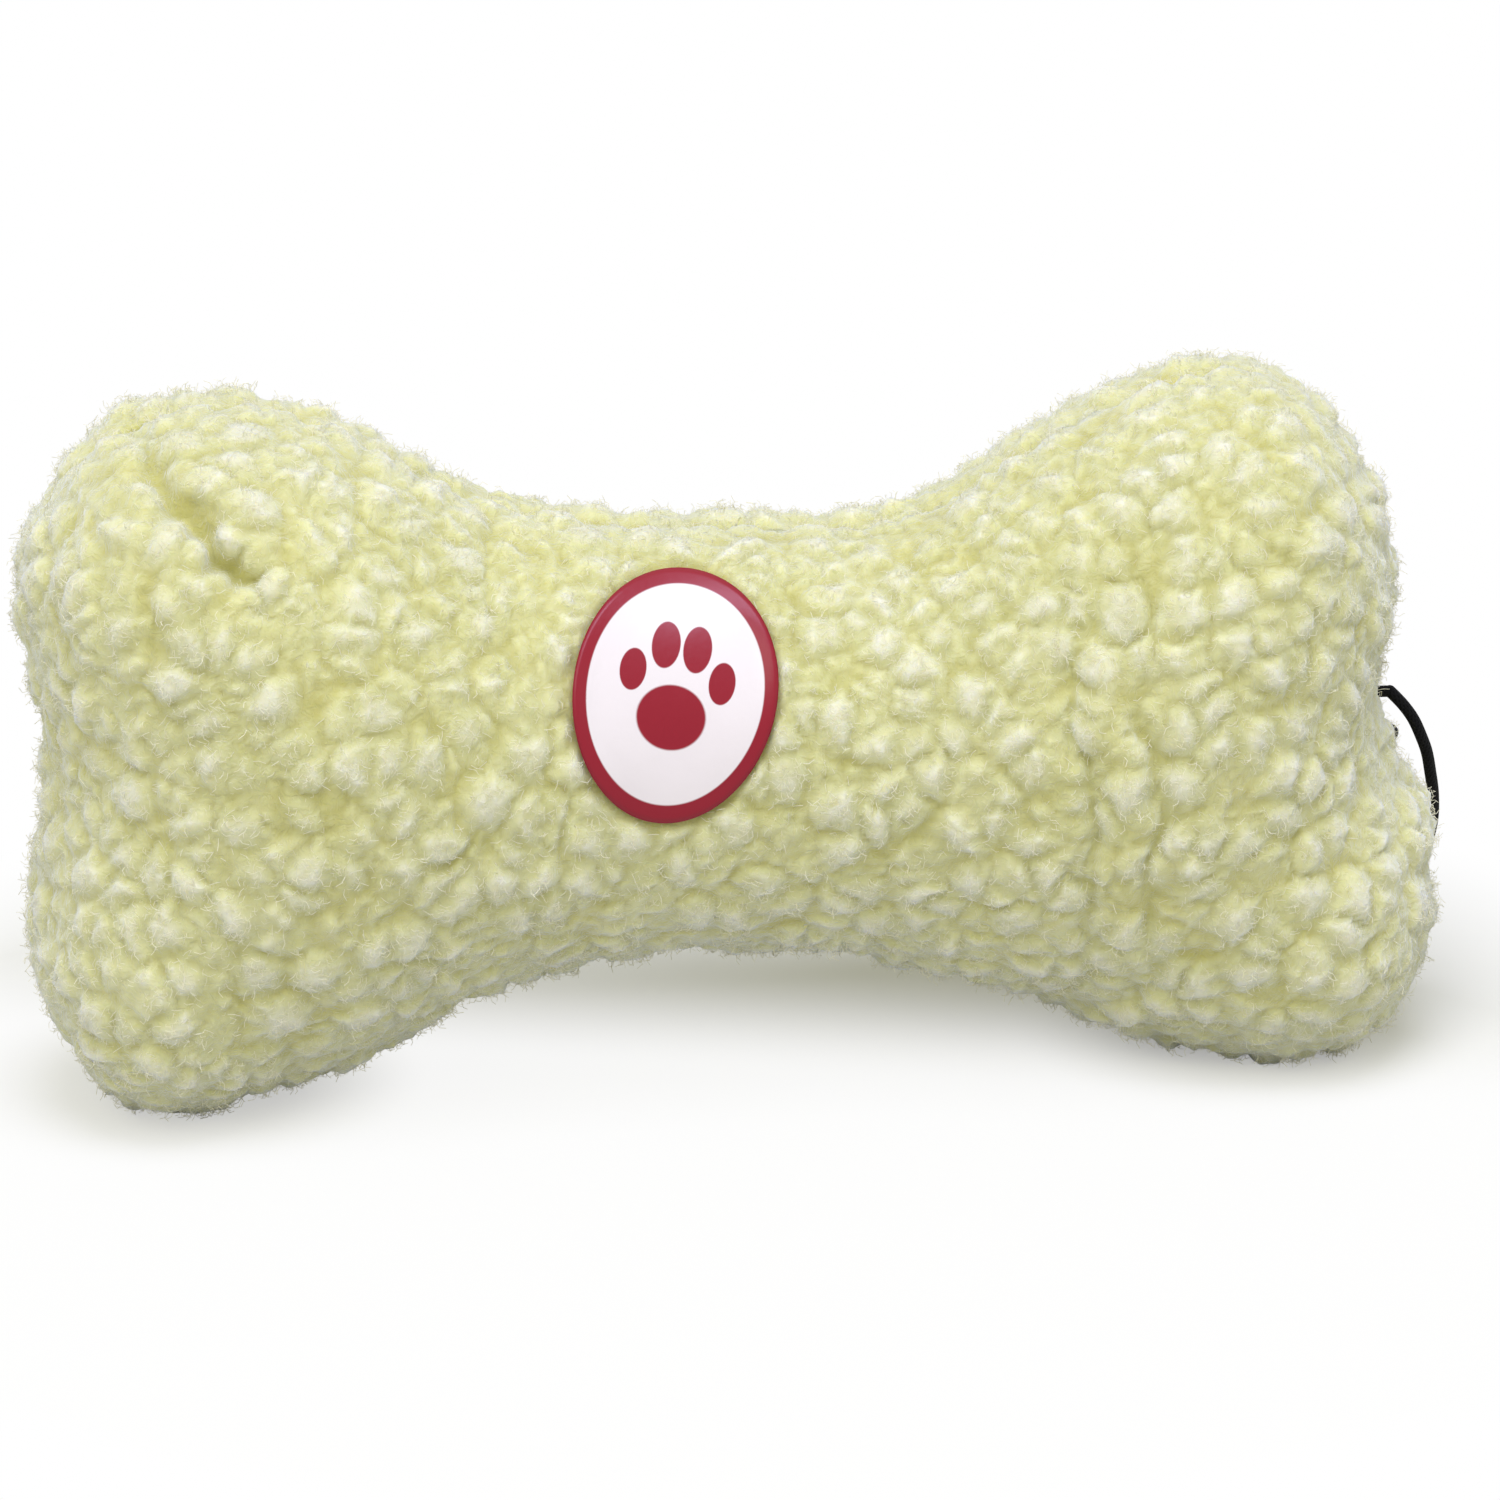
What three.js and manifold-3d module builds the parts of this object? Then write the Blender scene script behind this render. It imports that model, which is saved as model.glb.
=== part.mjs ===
// A plush bone that squeaks, for dogs: two sherpa fleece panels sewn together round the edge, fibre filling,
// a squeaker with a reed in the waist, an elastic hang loop in the right end and an oval sticker on the front.
// Millimetres, +Z up. The bone's own frame has X along the bone, Y through it from front to back, and its origin
// on the long axis at the middle of the waist. The exported group stands on Z = 0, centred on X and Y.

import * as THREE from 'three';
import { ParametricGeometry } from 'three/addons/geometries/ParametricGeometry.js';
import { mergeVertices } from 'three/addons/utils/BufferGeometryUtils.js';
import Module from 'manifold-3d';

const wasm = await Module();
wasm.setup();

// Bone form: a shaft, a swollen core at each end and four lobes, blended together
const waistHeight = 72.6;
const waistThickness = 62;
const shaftHalfLength = 60;
const endHeight = 115.4;
const coreOffset = 69;
const coreHalfLength = 36;
const coreHalfThickness = 35.5;
const coreHalfHeight = 52;
const lobeHalfThickness = 32;
const lobeHalfHeight = 26;
const shaftBlend = 36;
const lobeBlend = 27;

// Each lobe's crest and tip, measured along the bone from the middle of the waist
const upperLeftCrest = 85.5;
const upperLeftTip = 111;
const lowerLeftCrest = 91.5;
const lowerLeftTip = 111.5;
const upperRightCrest = 85;
const upperRightTip = 106;
const lowerRightCrest = 94;
const lowerRightTip = 118.5;

// Flat that the weight of the bone presses into the lower lobes
const footFlat = 0.5;

// Fleece cover and its seam
const fleeceThickness = 6;
const seamAllowance = 5;
const lipThickness = 2.2;
const seamGap = 0.3;
const grooveDepth = 2.2;
const grooveHalfWidth = 3;
const clearance = 0.3;

// Overlock thread round the turned-in seam allowances
const overlockGrip = 2.5;
const overlockThread = 0.9;

// Hand stitch that closes the stuffing gap under the waist
const closingLength = 60;
const closingStitches = 12;
const closingHalfWidth = 1.4;
const closingThread = 0.8;

// Fibre filling
const fillingClearance = 0.4;
const waistWadHalfLength = 46;

// Squeaker bulb, its axis along Y, with a neck on its right
const bulbDiameter = 34;
const bulbThickness = 24;
const bulbEdgeRadius = 10;
const bulbWall = 1.2;
const neckDiameter = 13;
const neckLength = 5;

// Reed unit in the neck
const housingDiameter = 9;
const housingBore = 7;
const housingLength = 13;
const flangeDiameter = 12.4;
const flangeThickness = 1.5;
const reedBaseLength = 11.5;
const channelWidth = 3;
const channelDepth = 1.5;
const clampLength = 4.5;
const tongueWidth = 4;
const tongueThickness = 0.25;
const tongueRoot = 3.2;
const tongueFree = 6.5;
const tongueLift = THREE.MathUtils.degToRad(5);

// Elastic hang loop, its two ends one above the other in the right cleft, where they stand out of the groove
const cordDiameter = 2;
const loopExit = 2.2;
const loopUpperEnd = 2.5;
const loopLowerEnd = -4;
const knotLength = 7;
const knotHeight = 9;
const knotThickness = 6;
const knotDepth = 16;

// Oval sticker
const stickerHeight = 40.5;
const stickerWidth = 32;
const stickerThickness = 0.3;
const stickerX = -10.6;
const stickerZ = 15.8;
const stickerTilt = THREE.MathUtils.degToRad(12);

// Facets
const outerGrid = { columns: 42, meridians: 24 };
const innerGrid = { columns: 26, meridians: 20 };
const outlineSteps = 32;
const shaftShare = 0.36;
const seamCrowding = 0.75;
const roundSides = 18;
const arcSteps = 4;
const threadSides = 6;
const stitchSteps = 3;
const cordSides = 8;
const cordSteps = 64;
const stickerRings = 4;

// Reach of the blocks that trim the form, well past the bone on every side
const trimReach = 4 * (endHeight + Math.max(lowerRightTip, upperLeftTip));

// Materials, colours from the photo
const fleeceCream = new THREE.MeshStandardMaterial({ color: 0xe0dcb4, roughness: 0.95, metalness: 0 });
const fillingWhite = new THREE.MeshStandardMaterial({ color: 0xf2f1ec, roughness: 1, metalness: 0 });
const threadCream = new THREE.MeshStandardMaterial({ color: 0xd8d2a8, roughness: 0.8, metalness: 0 });
const elasticBlack = new THREE.MeshStandardMaterial({ color: 0x171719, roughness: 0.7, metalness: 0 });
const stickerPaper = new THREE.MeshStandardMaterial({ color: 0xf2e8e3, roughness: 0.35, metalness: 0 });
const bulbPlastic = new THREE.MeshStandardMaterial({ color: 0xeef0ea, roughness: 0.4, metalness: 0 });
const reedPlastic = new THREE.MeshStandardMaterial({ color: 0xf6f5f0, roughness: 0.3, metalness: 0 });
const reedFilm = new THREE.MeshStandardMaterial({ color: 0xd9c27a, roughness: 0.3, metalness: 0 });

const lobeRise = endHeight / 2 - lobeHalfHeight;
const lobes = [
  { x: -upperLeftCrest, z: lobeRise, halfLength: upperLeftTip - upperLeftCrest },
  { x: -lowerLeftCrest, z: -lobeRise, halfLength: lowerLeftTip - lowerLeftCrest },
  { x: upperRightCrest, z: lobeRise, halfLength: upperRightTip - upperRightCrest },
  { x: lowerRightCrest, z: -lobeRise, halfLength: lowerRightTip - lowerRightCrest },
];

// Distance to an ellipsoid about the origin, close to true near its surface.
function ellipsoidDistance(x, y, z, a, b, c) {
  const inside = Math.hypot(x / a, y / b, z / c);
  const slope = Math.hypot(x / (a * a), y / (b * b), z / (c * c));
  return slope === 0 ? -Math.min(a, b, c) : (inside * (inside - 1)) / slope;
}

// Union of two distances with a fillet of the given reach.
function blendUnion(first, second, reach) {
  const overlap = Math.max(reach - Math.abs(first - second), 0) / reach;
  return Math.min(first, second) - (overlap ** 3 * reach) / 6;
}

// Distance to the bone's outside at a point, negative within.
function boneDistance(x, y, z) {
  const pastShaft = Math.max(Math.abs(x) - shaftHalfLength, 0);
  const shaft = Math.hypot(pastShaft, (y * waistHeight) / waistThickness, z) - waistHeight / 2;
  const core = ellipsoidDistance(
    Math.abs(x) - coreOffset, y, z, coreHalfLength, coreHalfThickness, coreHalfHeight,
  );
  let distance = blendUnion(shaft, core, shaftBlend);
  for (const lobe of lobes) {
    const bump = ellipsoidDistance(
      x - lobe.x, y, z - lobe.z, lobe.halfLength, lobeHalfThickness, lobeHalfHeight,
    );
    distance = blendUnion(distance, bump, lobeBlend);
  }
  return distance;
}

// Distance to the outside with the furrow that the seam draws into the pile.
function grooveDistance(x, y, z) {
  return boneDistance(x, y, z) + grooveDepth * Math.exp(-((y / grooveHalfWidth) ** 2));
}

// Point where a ray from within meets the surface at a depth below the given distance field.
function castRay(origin, direction, depth, field, target) {
  let near = 0;
  let far = trimReach;
  let middle = far / 2;
  while (near < middle && middle < far) {
    target.copy(direction).multiplyScalar(middle).add(origin);
    if (field(target.x, target.y, target.z) + depth < 0) near = middle;
    else far = middle;
    middle = (near + far) / 2;
  }
  return target;
}

// Point of the layer at a depth: u runs from end to end of the bone, v once round it from the top seam.
function layerPoint(u, v, depth, field, target) {
  const along = 2 * u - 1;
  const side = Math.sign(along);
  const onShaft = Math.min(Math.abs(along) / shaftShare, 1);
  const fan = (Math.max((Math.abs(along) - shaftShare) / (1 - shaftShare), 0) * Math.PI) / 2;
  const turn = 2 * Math.PI * v - (seamCrowding / 2) * Math.sin(4 * Math.PI * v);
  const origin = new THREE.Vector3(side * onShaft * coreOffset, 0, 0);
  const around = new THREE.Vector3(0, Math.sin(turn), Math.cos(turn)).multiplyScalar(Math.cos(fan));
  const direction = around.setX(side * Math.sin(fan));
  return castRay(origin, direction, depth, field, target);
}

// Closed solid of a geometry, its shared vertices merged and its flat triangles dropped.
function solid(geometry) {
  const bare = geometry.clone();
  bare.deleteAttribute('normal');
  bare.deleteAttribute('uv');
  const merged = mergeVertices(bare);
  const corners = [];
  const { array } = merged.index;
  for (let i = 0; i < array.length; i += 3) {
    const [a, b, c] = array.subarray(i, i + 3);
    if (a !== b && b !== c && c !== a) corners.push(a, b, c);
  }
  const vertProperties = new Float32Array(merged.getAttribute('position').array);
  return new wasm.Manifold(new wasm.Mesh({ numProp: 3, vertProperties, triVerts: new Uint32Array(corners) }));
}

// The bone's whole volume inside the layer at a depth.
function layer(depth, field, grid) {
  const surface = (u, v, target) => layerPoint(u, v, depth, field, target);
  return solid(new ParametricGeometry(surface, grid.columns, grid.meridians));
}

// Flat plate with the outline of the layer at a depth, as far as half its thickness on each side of the seam.
function seamPlate(depth, half) {
  const rise = Array.from({ length: 2 * outlineSteps }, (_, i) => {
    const under = i >= outlineSteps;
    const u = under ? 2 - i / outlineSteps : i / outlineSteps;
    const point = layerPoint(u, under ? 0.5 : 0, depth, boneDistance, new THREE.Vector3());
    return new THREE.Vector2(point.x, point.z);
  });
  const plate = new THREE.ExtrudeGeometry(new THREE.Shape(rise), { depth: 2 * half, bevelEnabled: false });
  return solid(plate.rotateX(Math.PI / 2).translate(0, half, 0));
}

// Trimming block between two corners.
function block(low, high) {
  const size = new THREE.Vector3().subVectors(high, low);
  const middle = new THREE.Vector3().addVectors(low, high).multiplyScalar(0.5);
  return solid(new THREE.BoxGeometry(...size).translate(...middle));
}

// Block that is bounded only on the sides given, such as { y: [-2, 2] }.
function slab(bounds) {
  const [low, high] = [0, 1].map((end) => {
    const far = end === 0 ? -trimReach : trimReach;
    const pick = (axis) => bounds[axis]?.[end] ?? far;
    return new THREE.Vector3(pick('x'), pick('y'), pick('z'));
  });
  return block(low, high);
}

// Cylinder along X from one place to another.
function rodX(radius, from, to, y = 0, z = 0) {
  const rod = new THREE.CylinderGeometry(radius, radius, to - from, roundSides);
  return solid(rod.rotateZ(-Math.PI / 2).translate((from + to) / 2, y, z));
}

// Tube along a curve, closed at both ends.
function tube(curve, diameter, sides, steps) {
  const corners = Array.from({ length: sides }, (_, i) => {
    const angle = (2 * Math.PI * i) / sides;
    return new THREE.Vector2(Math.cos(angle), Math.sin(angle)).multiplyScalar(diameter / 2);
  });
  return solid(new THREE.ExtrudeGeometry(new THREE.Shape(corners), { steps, extrudePath: curve }));
}

// Named mesh of a solid.
function piece(name, body, material) {
  const { vertProperties, triVerts } = body.getMesh();
  const geometry = new THREE.BufferGeometry();
  geometry.setAttribute('position', new THREE.BufferAttribute(vertProperties, 3));
  geometry.setIndex(new THREE.BufferAttribute(triVerts, 1));
  geometry.computeVertexNormals();
  const mesh = new THREE.Mesh(geometry, material);
  mesh.name = name;
  return mesh;
}

// Levels below the outside that the layers of the toy share
const lipDepth = fleeceThickness + seamAllowance;
const lipHalf = seamGap / 2 + lipThickness;
const overlockInner = lipDepth + clearance + overlockThread;
const overlockHalf = lipHalf + clearance + overlockThread;
const outside = layer(0, grooveDistance, outerGrid);
const rim = outside.boundingBox();

// Height of the floor: the higher of the two lower lobes' lowest points, less the flat
const lowestOf = (side) => outside.intersect(slab({ x: side })).boundingBox().min[2];
const floor = Math.max(lowestOf([-trimReach, 0]), lowestOf([0, trimReach])) + footFlat;
const aboveFloor = slab({ z: [floor, trimReach] });

// Hang loop: the cleft is where the long axis leaves the right end, and the loop turns about an upright line there
const cleft = layerPoint(1, 0, 0, grooveDistance, new THREE.Vector3()).x;
const cordRadius = cordDiameter / 2;
const knotX = cleft - knotDepth;
const stubEnd = cleft + loopExit;
const turnX = stubEnd + clearance + cordRadius;

// Knot behind the seam with the two ends of the cord that come out through it.
function knot(room) {
  const ball = new THREE.SphereGeometry(1, roundSides / 2, roundSides / 2);
  ball.scale(knotLength / 2 + room, knotThickness / 2 + room, knotHeight / 2 + room);
  let body = solid(ball.translate(knotX, 0, (loopUpperEnd + loopLowerEnd) / 2));
  for (const end of [loopUpperEnd, loopLowerEnd]) {
    body = body.add(rodX(cordRadius + room, knotX, stubEnd + room, 0, end));
  }
  return body;
}

const knotRoom = knot(clearance).add(rodX(cordRadius + clearance, knotX, cleft + trimReach, 0, loopUpperEnd))
  .add(rodX(cordRadius + clearance, knotX, cleft + trimReach, 0, loopLowerEnd));

// Route of the loop from the line it turns about: over the lower right lobe's end towards the back, and up again
const loopRoute = [
  [0, 0, loopUpperEnd],
  [1.1, 0.2, 1.4],
  [2.8, 0.8, -0.5],
  [4.6, 1.7, -3],
  [6.2, 3, -6],
  [7.9, 4.8, -9.7],
  [9.3, 7.2, -14],
  [10.7, 10, -19],
  [11.5, 12.8, -24.6],
  [10.9, 14.6, -30.2],
  [9.4, 16.4, -35.6],
  [7.2, 18.4, -40.2],
  [4.8, 20.6, -42.9],
  [2.5, 22.6, -42.9],
  [1.1, 24.2, -40.2],
  [0.8, 25.1, -35],
  [1.3, 25, -29],
  [1.8, 22.8, -22.8],
  [2.2, 19, -17.2],
  [2.4, 14.4, -12.6],
  [2.5, 9.6, -9],
  [2.1, 5.4, -6.5],
  [1.1, 2.2, -5],
  [0, 0, loopLowerEnd],
].map(([out, y, z]) => new THREE.Vector3(turnX + out, y, z));

// Loop of cord with rounded ends.
function hangLoop() {
  const ends = [loopUpperEnd, loopLowerEnd].map((end) => (
    solid(new THREE.SphereGeometry(cordRadius, cordSides, cordSides).translate(turnX, 0, end))
  ));
  const cord = tube(new THREE.CatmullRomCurve3(loopRoute), cordDiameter, cordSides, cordSteps);
  return ends.reduce((body, end) => body.add(end), cord);
}

// Half of the cover: its outside, the room behind the fleece and the seam allowance turned in at the edge.
function fleecePanel(side) {
  const half = (edge) => slab({ y: side < 0 ? [-trimReach, -edge] : [edge, trimReach] });
  return outside
    .intersect(half(seamGap / 2))
    .subtract(layer(fleeceThickness, boneDistance, innerGrid).intersect(half(lipHalf)))
    .subtract(seamPlate(lipDepth, lipHalf))
    .subtract(knotRoom)
    .intersect(aboveFloor);
}

// Thread wrapped over the cut edges of both seam allowances.
function seamOverlock() {
  const gripped = lipHalf + clearance;
  const lips = slab({ y: [-gripped, gripped] }).subtract(seamPlate(lipDepth + clearance, overlockHalf));
  return seamPlate(lipDepth - overlockGrip, overlockHalf)
    .subtract(seamPlate(overlockInner, overlockHalf + clearance))
    .subtract(lips)
    .subtract(knotRoom);
}

// Zigzag of hand stitches that lies in the groove of the seam, under the waist.
function closingStitch() {
  const down = new THREE.Vector3(0, 0, -1);
  const lift = closingThread / 2 + clearance;
  const points = Array.from({ length: closingStitches + 1 }, (_, i) => {
    const x = closingLength * (i / closingStitches - 0.5);
    const y = closingHalfWidth * (i % 2 === 0 ? -1 : 1);
    return castRay(new THREE.Vector3(x, y, 0), down, -lift, grooveDistance, new THREE.Vector3());
  });
  const curve = new THREE.CatmullRomCurve3(points, false, 'centripetal');
  return tube(curve, closingThread, threadSides, stitchSteps * closingStitches);
}

// Squeaker bulb without its hollow, grown by the room that is asked for.
function bulbForm(room) {
  const radius = bulbDiameter / 2 + room;
  const half = bulbThickness / 2 + room;
  const round = bulbEdgeRadius + room;
  const profile = new THREE.Path()
    .moveTo(0, -half)
    .lineTo(radius - round, -half)
    .absarc(radius - round, round - half, round, -Math.PI / 2, 0)
    .absarc(radius - round, half - round, round, 0, Math.PI / 2)
    .lineTo(0, half);
  return solid(new THREE.LatheGeometry(profile.getPoints(arcSteps), roundSides));
}

const bulbRadius = bulbDiameter / 2;
const neckEnd = bulbRadius + neckLength;
const flangeStart = neckEnd + clearance;
const flangeEnd = flangeStart + flangeThickness;

function squeakerBulb() {
  return bulbForm(0)
    .add(rodX(neckDiameter / 2, bulbRadius - bulbEdgeRadius, neckEnd))
    .subtract(bulbForm(-bulbWall))
    .subtract(rodX(housingDiameter / 2 + clearance, 0, neckEnd + trimReach));
}

// Room that the filling leaves for the squeaker.
function squeakerRoom() {
  return bulbForm(fillingClearance)
    .add(rodX(neckDiameter / 2 + fillingClearance, 0, flangeEnd + fillingClearance));
}

function reedHousing() {
  const inner = housingBore / 2;
  const outer = housingDiameter / 2;
  const profile = [
    [inner, flangeEnd - housingLength],
    [outer, flangeEnd - housingLength],
    [outer, flangeStart],
    [flangeDiameter / 2, flangeStart],
    [flangeDiameter / 2, flangeEnd],
    [inner, flangeEnd],
    [inner, flangeEnd - housingLength],
  ].map((point) => new THREE.Vector2(...point));
  return solid(new THREE.LatheGeometry(profile, roundSides).rotateZ(-Math.PI / 2));
}

const reedRadius = housingBore / 2 - clearance;
const reedBed = tongueThickness / 2 + clearance;
const reedEnd = flangeEnd - flangeThickness / 2;

// Half-round bar along X that fits the bore on one side of the reed, ending where the reed unit ends.
function halfRound(side, length) {
  const bed = side * reedBed;
  return rodX(reedRadius, reedEnd - length, reedEnd)
    .intersect(slab({ z: side < 0 ? [-trimReach, bed] : [bed, trimReach] }));
}

function reedBase() {
  const channel = slab({
    y: [-channelWidth / 2, channelWidth / 2],
    z: [-reedBed - channelDepth, trimReach],
  });
  return halfRound(-1, reedBaseLength).subtract(channel);
}

function reedClamp() {
  return halfRound(1, clampLength);
}

// The reed's root lies flat under the clamp and its free end rises off the channel.
const reedPivotX = reedEnd - clampLength;

function reedTongue() {
  const half = tongueThickness / 2;
  const tip = new THREE.Vector2(-Math.cos(tongueLift), Math.sin(tongueLift)).multiplyScalar(tongueFree);
  const across = new THREE.Vector2(Math.sin(tongueLift), Math.cos(tongueLift)).multiplyScalar(half);
  const outline = new THREE.Shape([
    new THREE.Vector2(tongueRoot, -half),
    new THREE.Vector2(tongueRoot, half),
    new THREE.Vector2(0, half),
    tip.clone().add(across),
    tip.clone().sub(across),
    new THREE.Vector2(0, -half),
  ]);
  const strip = new THREE.ExtrudeGeometry(outline, { depth: tongueWidth, bevelEnabled: false });
  return solid(strip.rotateX(Math.PI / 2).translate(reedPivotX, tongueWidth / 2, 0));
}

// Room inside the cover for the filling, clear of the seam allowances and their overlock.
const threadedHalf = overlockHalf + clearance;
const overlockRoom = slab({ y: [-threadedHalf, threadedHalf] })
  .subtract(seamPlate(overlockInner + clearance, threadedHalf + clearance));
const wadRoom = layer(fleeceThickness + fillingClearance, boneDistance, innerGrid)
  .subtract(overlockRoom)
  .subtract(knotRoom);
const wadGap = clearance / 2;

// Wad of filling in the lobe on the given side and height.
function lobeWad(side, height) {
  const start = waistWadHalfLength + wadGap;
  return wadRoom.intersect(slab({
    x: side < 0 ? [-trimReach, -start] : [start, trimReach],
    z: height < 0 ? [-trimReach, -wadGap] : [wadGap, trimReach],
  }));
}

// Wad of filling in front of or behind the squeaker.
function waistWad(side) {
  return wadRoom
    .intersect(slab({
      x: [wadGap - waistWadHalfLength, waistWadHalfLength - wadGap],
      y: side < 0 ? [-trimReach, -wadGap] : [wadGap, trimReach],
    }))
    .subtract(squeakerRoom());
}

// Paper oval that bends with the waist. Rings of points run from its middle to its edge on both faces.
function ovalSticker() {
  const start = new THREE.Vector3(stickerX, 0, stickerZ);
  const onFleece = castRay(start, new THREE.Vector3(0, -1, 0), 0, boneDistance, new THREE.Vector3());
  const step = clearance;
  const slope = new THREE.Vector3(
    0,
    boneDistance(onFleece.x, onFleece.y + step, onFleece.z) - boneDistance(onFleece.x, onFleece.y - step, onFleece.z),
    boneDistance(onFleece.x, onFleece.y, onFleece.z + step) - boneDistance(onFleece.x, onFleece.y, onFleece.z - step),
  ).normalize();
  const upward = new THREE.Vector3(0, slope.z, -slope.y).normalize();
  if (upward.z < 0) upward.negate();
  const rightward = new THREE.Vector3(1, 0, 0);
  const ringPoint = (share, turn, lift, target) => {
    const local = new THREE.Vector2(stickerWidth / 2, stickerHeight / 2).multiplyScalar(share);
    local.set(local.x * Math.cos(turn), local.y * Math.sin(turn)).rotateAround(new THREE.Vector2(), -stickerTilt);
    const within = onFleece.clone().addScaledVector(slope, -waistThickness / 4)
      .addScaledVector(rightward, local.x)
      .addScaledVector(upward, local.y);
    return castRay(within, slope, -lift, boneDistance, target);
  };
  const back = clearance;
  const front = clearance + stickerThickness;
  const surface = (u, v, target) => {
    const round = u * (2 * stickerRings + 1);
    const onBack = round <= stickerRings;
    const share = onBack ? round / stickerRings : (2 * stickerRings + 1 - round) / stickerRings;
    return ringPoint(share, -2 * Math.PI * v, onBack ? back : front, target);
  };
  return solid(new ParametricGeometry(surface, 2 * stickerRings + 1, roundSides));
}

// The toy, piece by piece
const bone = new THREE.Group();
bone.name = 'bone';
bone.add(
  piece('front_fleece_panel', fleecePanel(-1), fleeceCream),
  piece('back_fleece_panel', fleecePanel(1), fleeceCream),
  piece('seam_overlock', seamOverlock(), threadCream),
  piece('closing_ladder_stitch', closingStitch(), threadCream),
  piece('filling_upper_left', lobeWad(-1, 1), fillingWhite),
  piece('filling_lower_left', lobeWad(-1, -1), fillingWhite),
  piece('filling_upper_right', lobeWad(1, 1), fillingWhite),
  piece('filling_lower_right', lobeWad(1, -1), fillingWhite),
  piece('filling_waist_front', waistWad(-1), fillingWhite),
  piece('filling_waist_back', waistWad(1), fillingWhite),
  piece('hang_loop', hangLoop(), elasticBlack),
  piece('hang_loop_knot', knot(0), elasticBlack),
  piece('oval_sticker', ovalSticker(), stickerPaper),
);

const squeaker = new THREE.Group();
squeaker.name = 'squeaker';
squeaker.add(
  piece('squeaker_bulb', squeakerBulb(), bulbPlastic),
  piece('reed_housing', reedHousing(), reedPlastic),
  piece('reed_base', reedBase(), reedPlastic),
  piece('reed_clamp', reedClamp(), reedPlastic),
  piece('reed_tongue', reedTongue(), reedFilm),
);
bone.add(squeaker);
bone.position.set(-(rim.min[0] + rim.max[0]) / 2, -(rim.min[1] + rim.max[1]) / 2, -floor);

const toy = new THREE.Group();
toy.add(bone);

export default toy;
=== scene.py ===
"""Looks of a squeaky plush bone for dogs, built round its packed construction.

The cover is a stuffed skin that follows the form of the bone, with the unevenness that a cloth simulation
gives it and a curly sherpa pile grown on it. Every mesh is in the row frame, in metres: X along the bone,
Y from the sticker side to the back, Z up from the floor.
"""
import logging
import math
from dataclasses import dataclass
from enum import Enum

import bpy
import numpy as np
from mathutils import Matrix, Vector


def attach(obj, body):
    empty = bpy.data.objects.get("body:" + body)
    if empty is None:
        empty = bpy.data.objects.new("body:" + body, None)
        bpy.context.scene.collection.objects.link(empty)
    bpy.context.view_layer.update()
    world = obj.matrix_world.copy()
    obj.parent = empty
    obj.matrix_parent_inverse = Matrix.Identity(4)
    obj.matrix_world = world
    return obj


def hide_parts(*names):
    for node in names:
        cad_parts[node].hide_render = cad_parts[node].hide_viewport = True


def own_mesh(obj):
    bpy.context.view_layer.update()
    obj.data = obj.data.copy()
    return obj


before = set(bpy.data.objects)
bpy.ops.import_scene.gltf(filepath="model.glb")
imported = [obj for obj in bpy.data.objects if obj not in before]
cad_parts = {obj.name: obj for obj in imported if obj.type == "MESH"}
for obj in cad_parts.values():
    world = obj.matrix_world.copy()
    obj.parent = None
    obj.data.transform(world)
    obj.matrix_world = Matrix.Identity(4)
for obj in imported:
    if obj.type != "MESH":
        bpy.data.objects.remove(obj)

log = logging.getLogger("plush_bone")

Rgb = tuple[float, float, float]
Point = tuple[float, float, float]

# Middle of the waist
MIDDLE: Point = (-0.002974, 0.0, 0.057297)
# Middle of a noise of three numbers
NOISE_MIDDLE: Point = (0.5, 0.5, 0.5)
# Steps of a smooth line between two of the points it passes through
LINE_STEPS = 24
# Direction that no cord or thread starts along
ASIDE: Point = (0.31, 0.87, 0.38)
# Share that is out of reach of any edge
FAR_OFF = 9.0
# Body that carries what is inside the cover
INNER_BODY = "back_cover"


class Side(Enum):
    """Half of the toy on one side of its seam, by the sign of Y."""

    FRONT = -1.0
    BACK = 1.0


class End(Enum):
    """Half of the toy on one side of its waist, by the sign of X."""

    LEFT = -1.0
    RIGHT = 1.0


class Place(Enum):
    """What a finish's pattern is measured from."""

    OBJECT = "Object"
    UV = "UV"


def linear(red: int, green: int, blue: int) -> Rgb:
    """Linear colour of an sRGB one.

    Args:
        red: Red, 0 to 255.
        green: Green, 0 to 255.
        blue: Blue, 0 to 255.

    Returns:
        The three linear shares.
    """
    shares = (channel / 255 for channel in (red, green, blue))
    return tuple(c / 12.92 if c <= 0.04045 else ((c + 0.055) / 1.055) ** 2.4 for c in shares)


def smoothstep(values: np.ndarray, start: float, end: float) -> np.ndarray:
    """Smooth rise from 0 at start to 1 at end.

    Args:
        values: Values to grade.
        start: Value at which the rise begins.
        end: Value at which it ends, on either side of start.

    Returns:
        Shares from 0 to 1.
    """
    share = np.clip((values - start) / (end - start), 0, 1)
    return share * share * (3 - 2 * share)


def unit(vectors: np.ndarray) -> np.ndarray:
    """Vectors of the same directions and of length 1.

    Args:
        vectors: One vector or rows of vectors.

    Returns:
        The unit vectors.
    """
    return vectors / np.maximum(np.linalg.norm(vectors, axis=-1, keepdims=True), 1e-12)


def mesh_object(name: str, points: np.ndarray, faces: list, edges: list | None = None) -> bpy.types.Object:
    """New object with a mesh of the given points and faces.

    Args:
        name: Name of the object and its mesh.
        points: Rows of X, Y and Z.
        faces: Corner numbers of each face.
        edges: Corner numbers of loose edges.

    Returns:
        The object, linked to the scene.
    """
    mesh = bpy.data.meshes.new(name)
    mesh.from_pydata(np.asarray(points, float).tolist(), edges or [], faces)
    mesh.update()
    return link(name, mesh)


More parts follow.
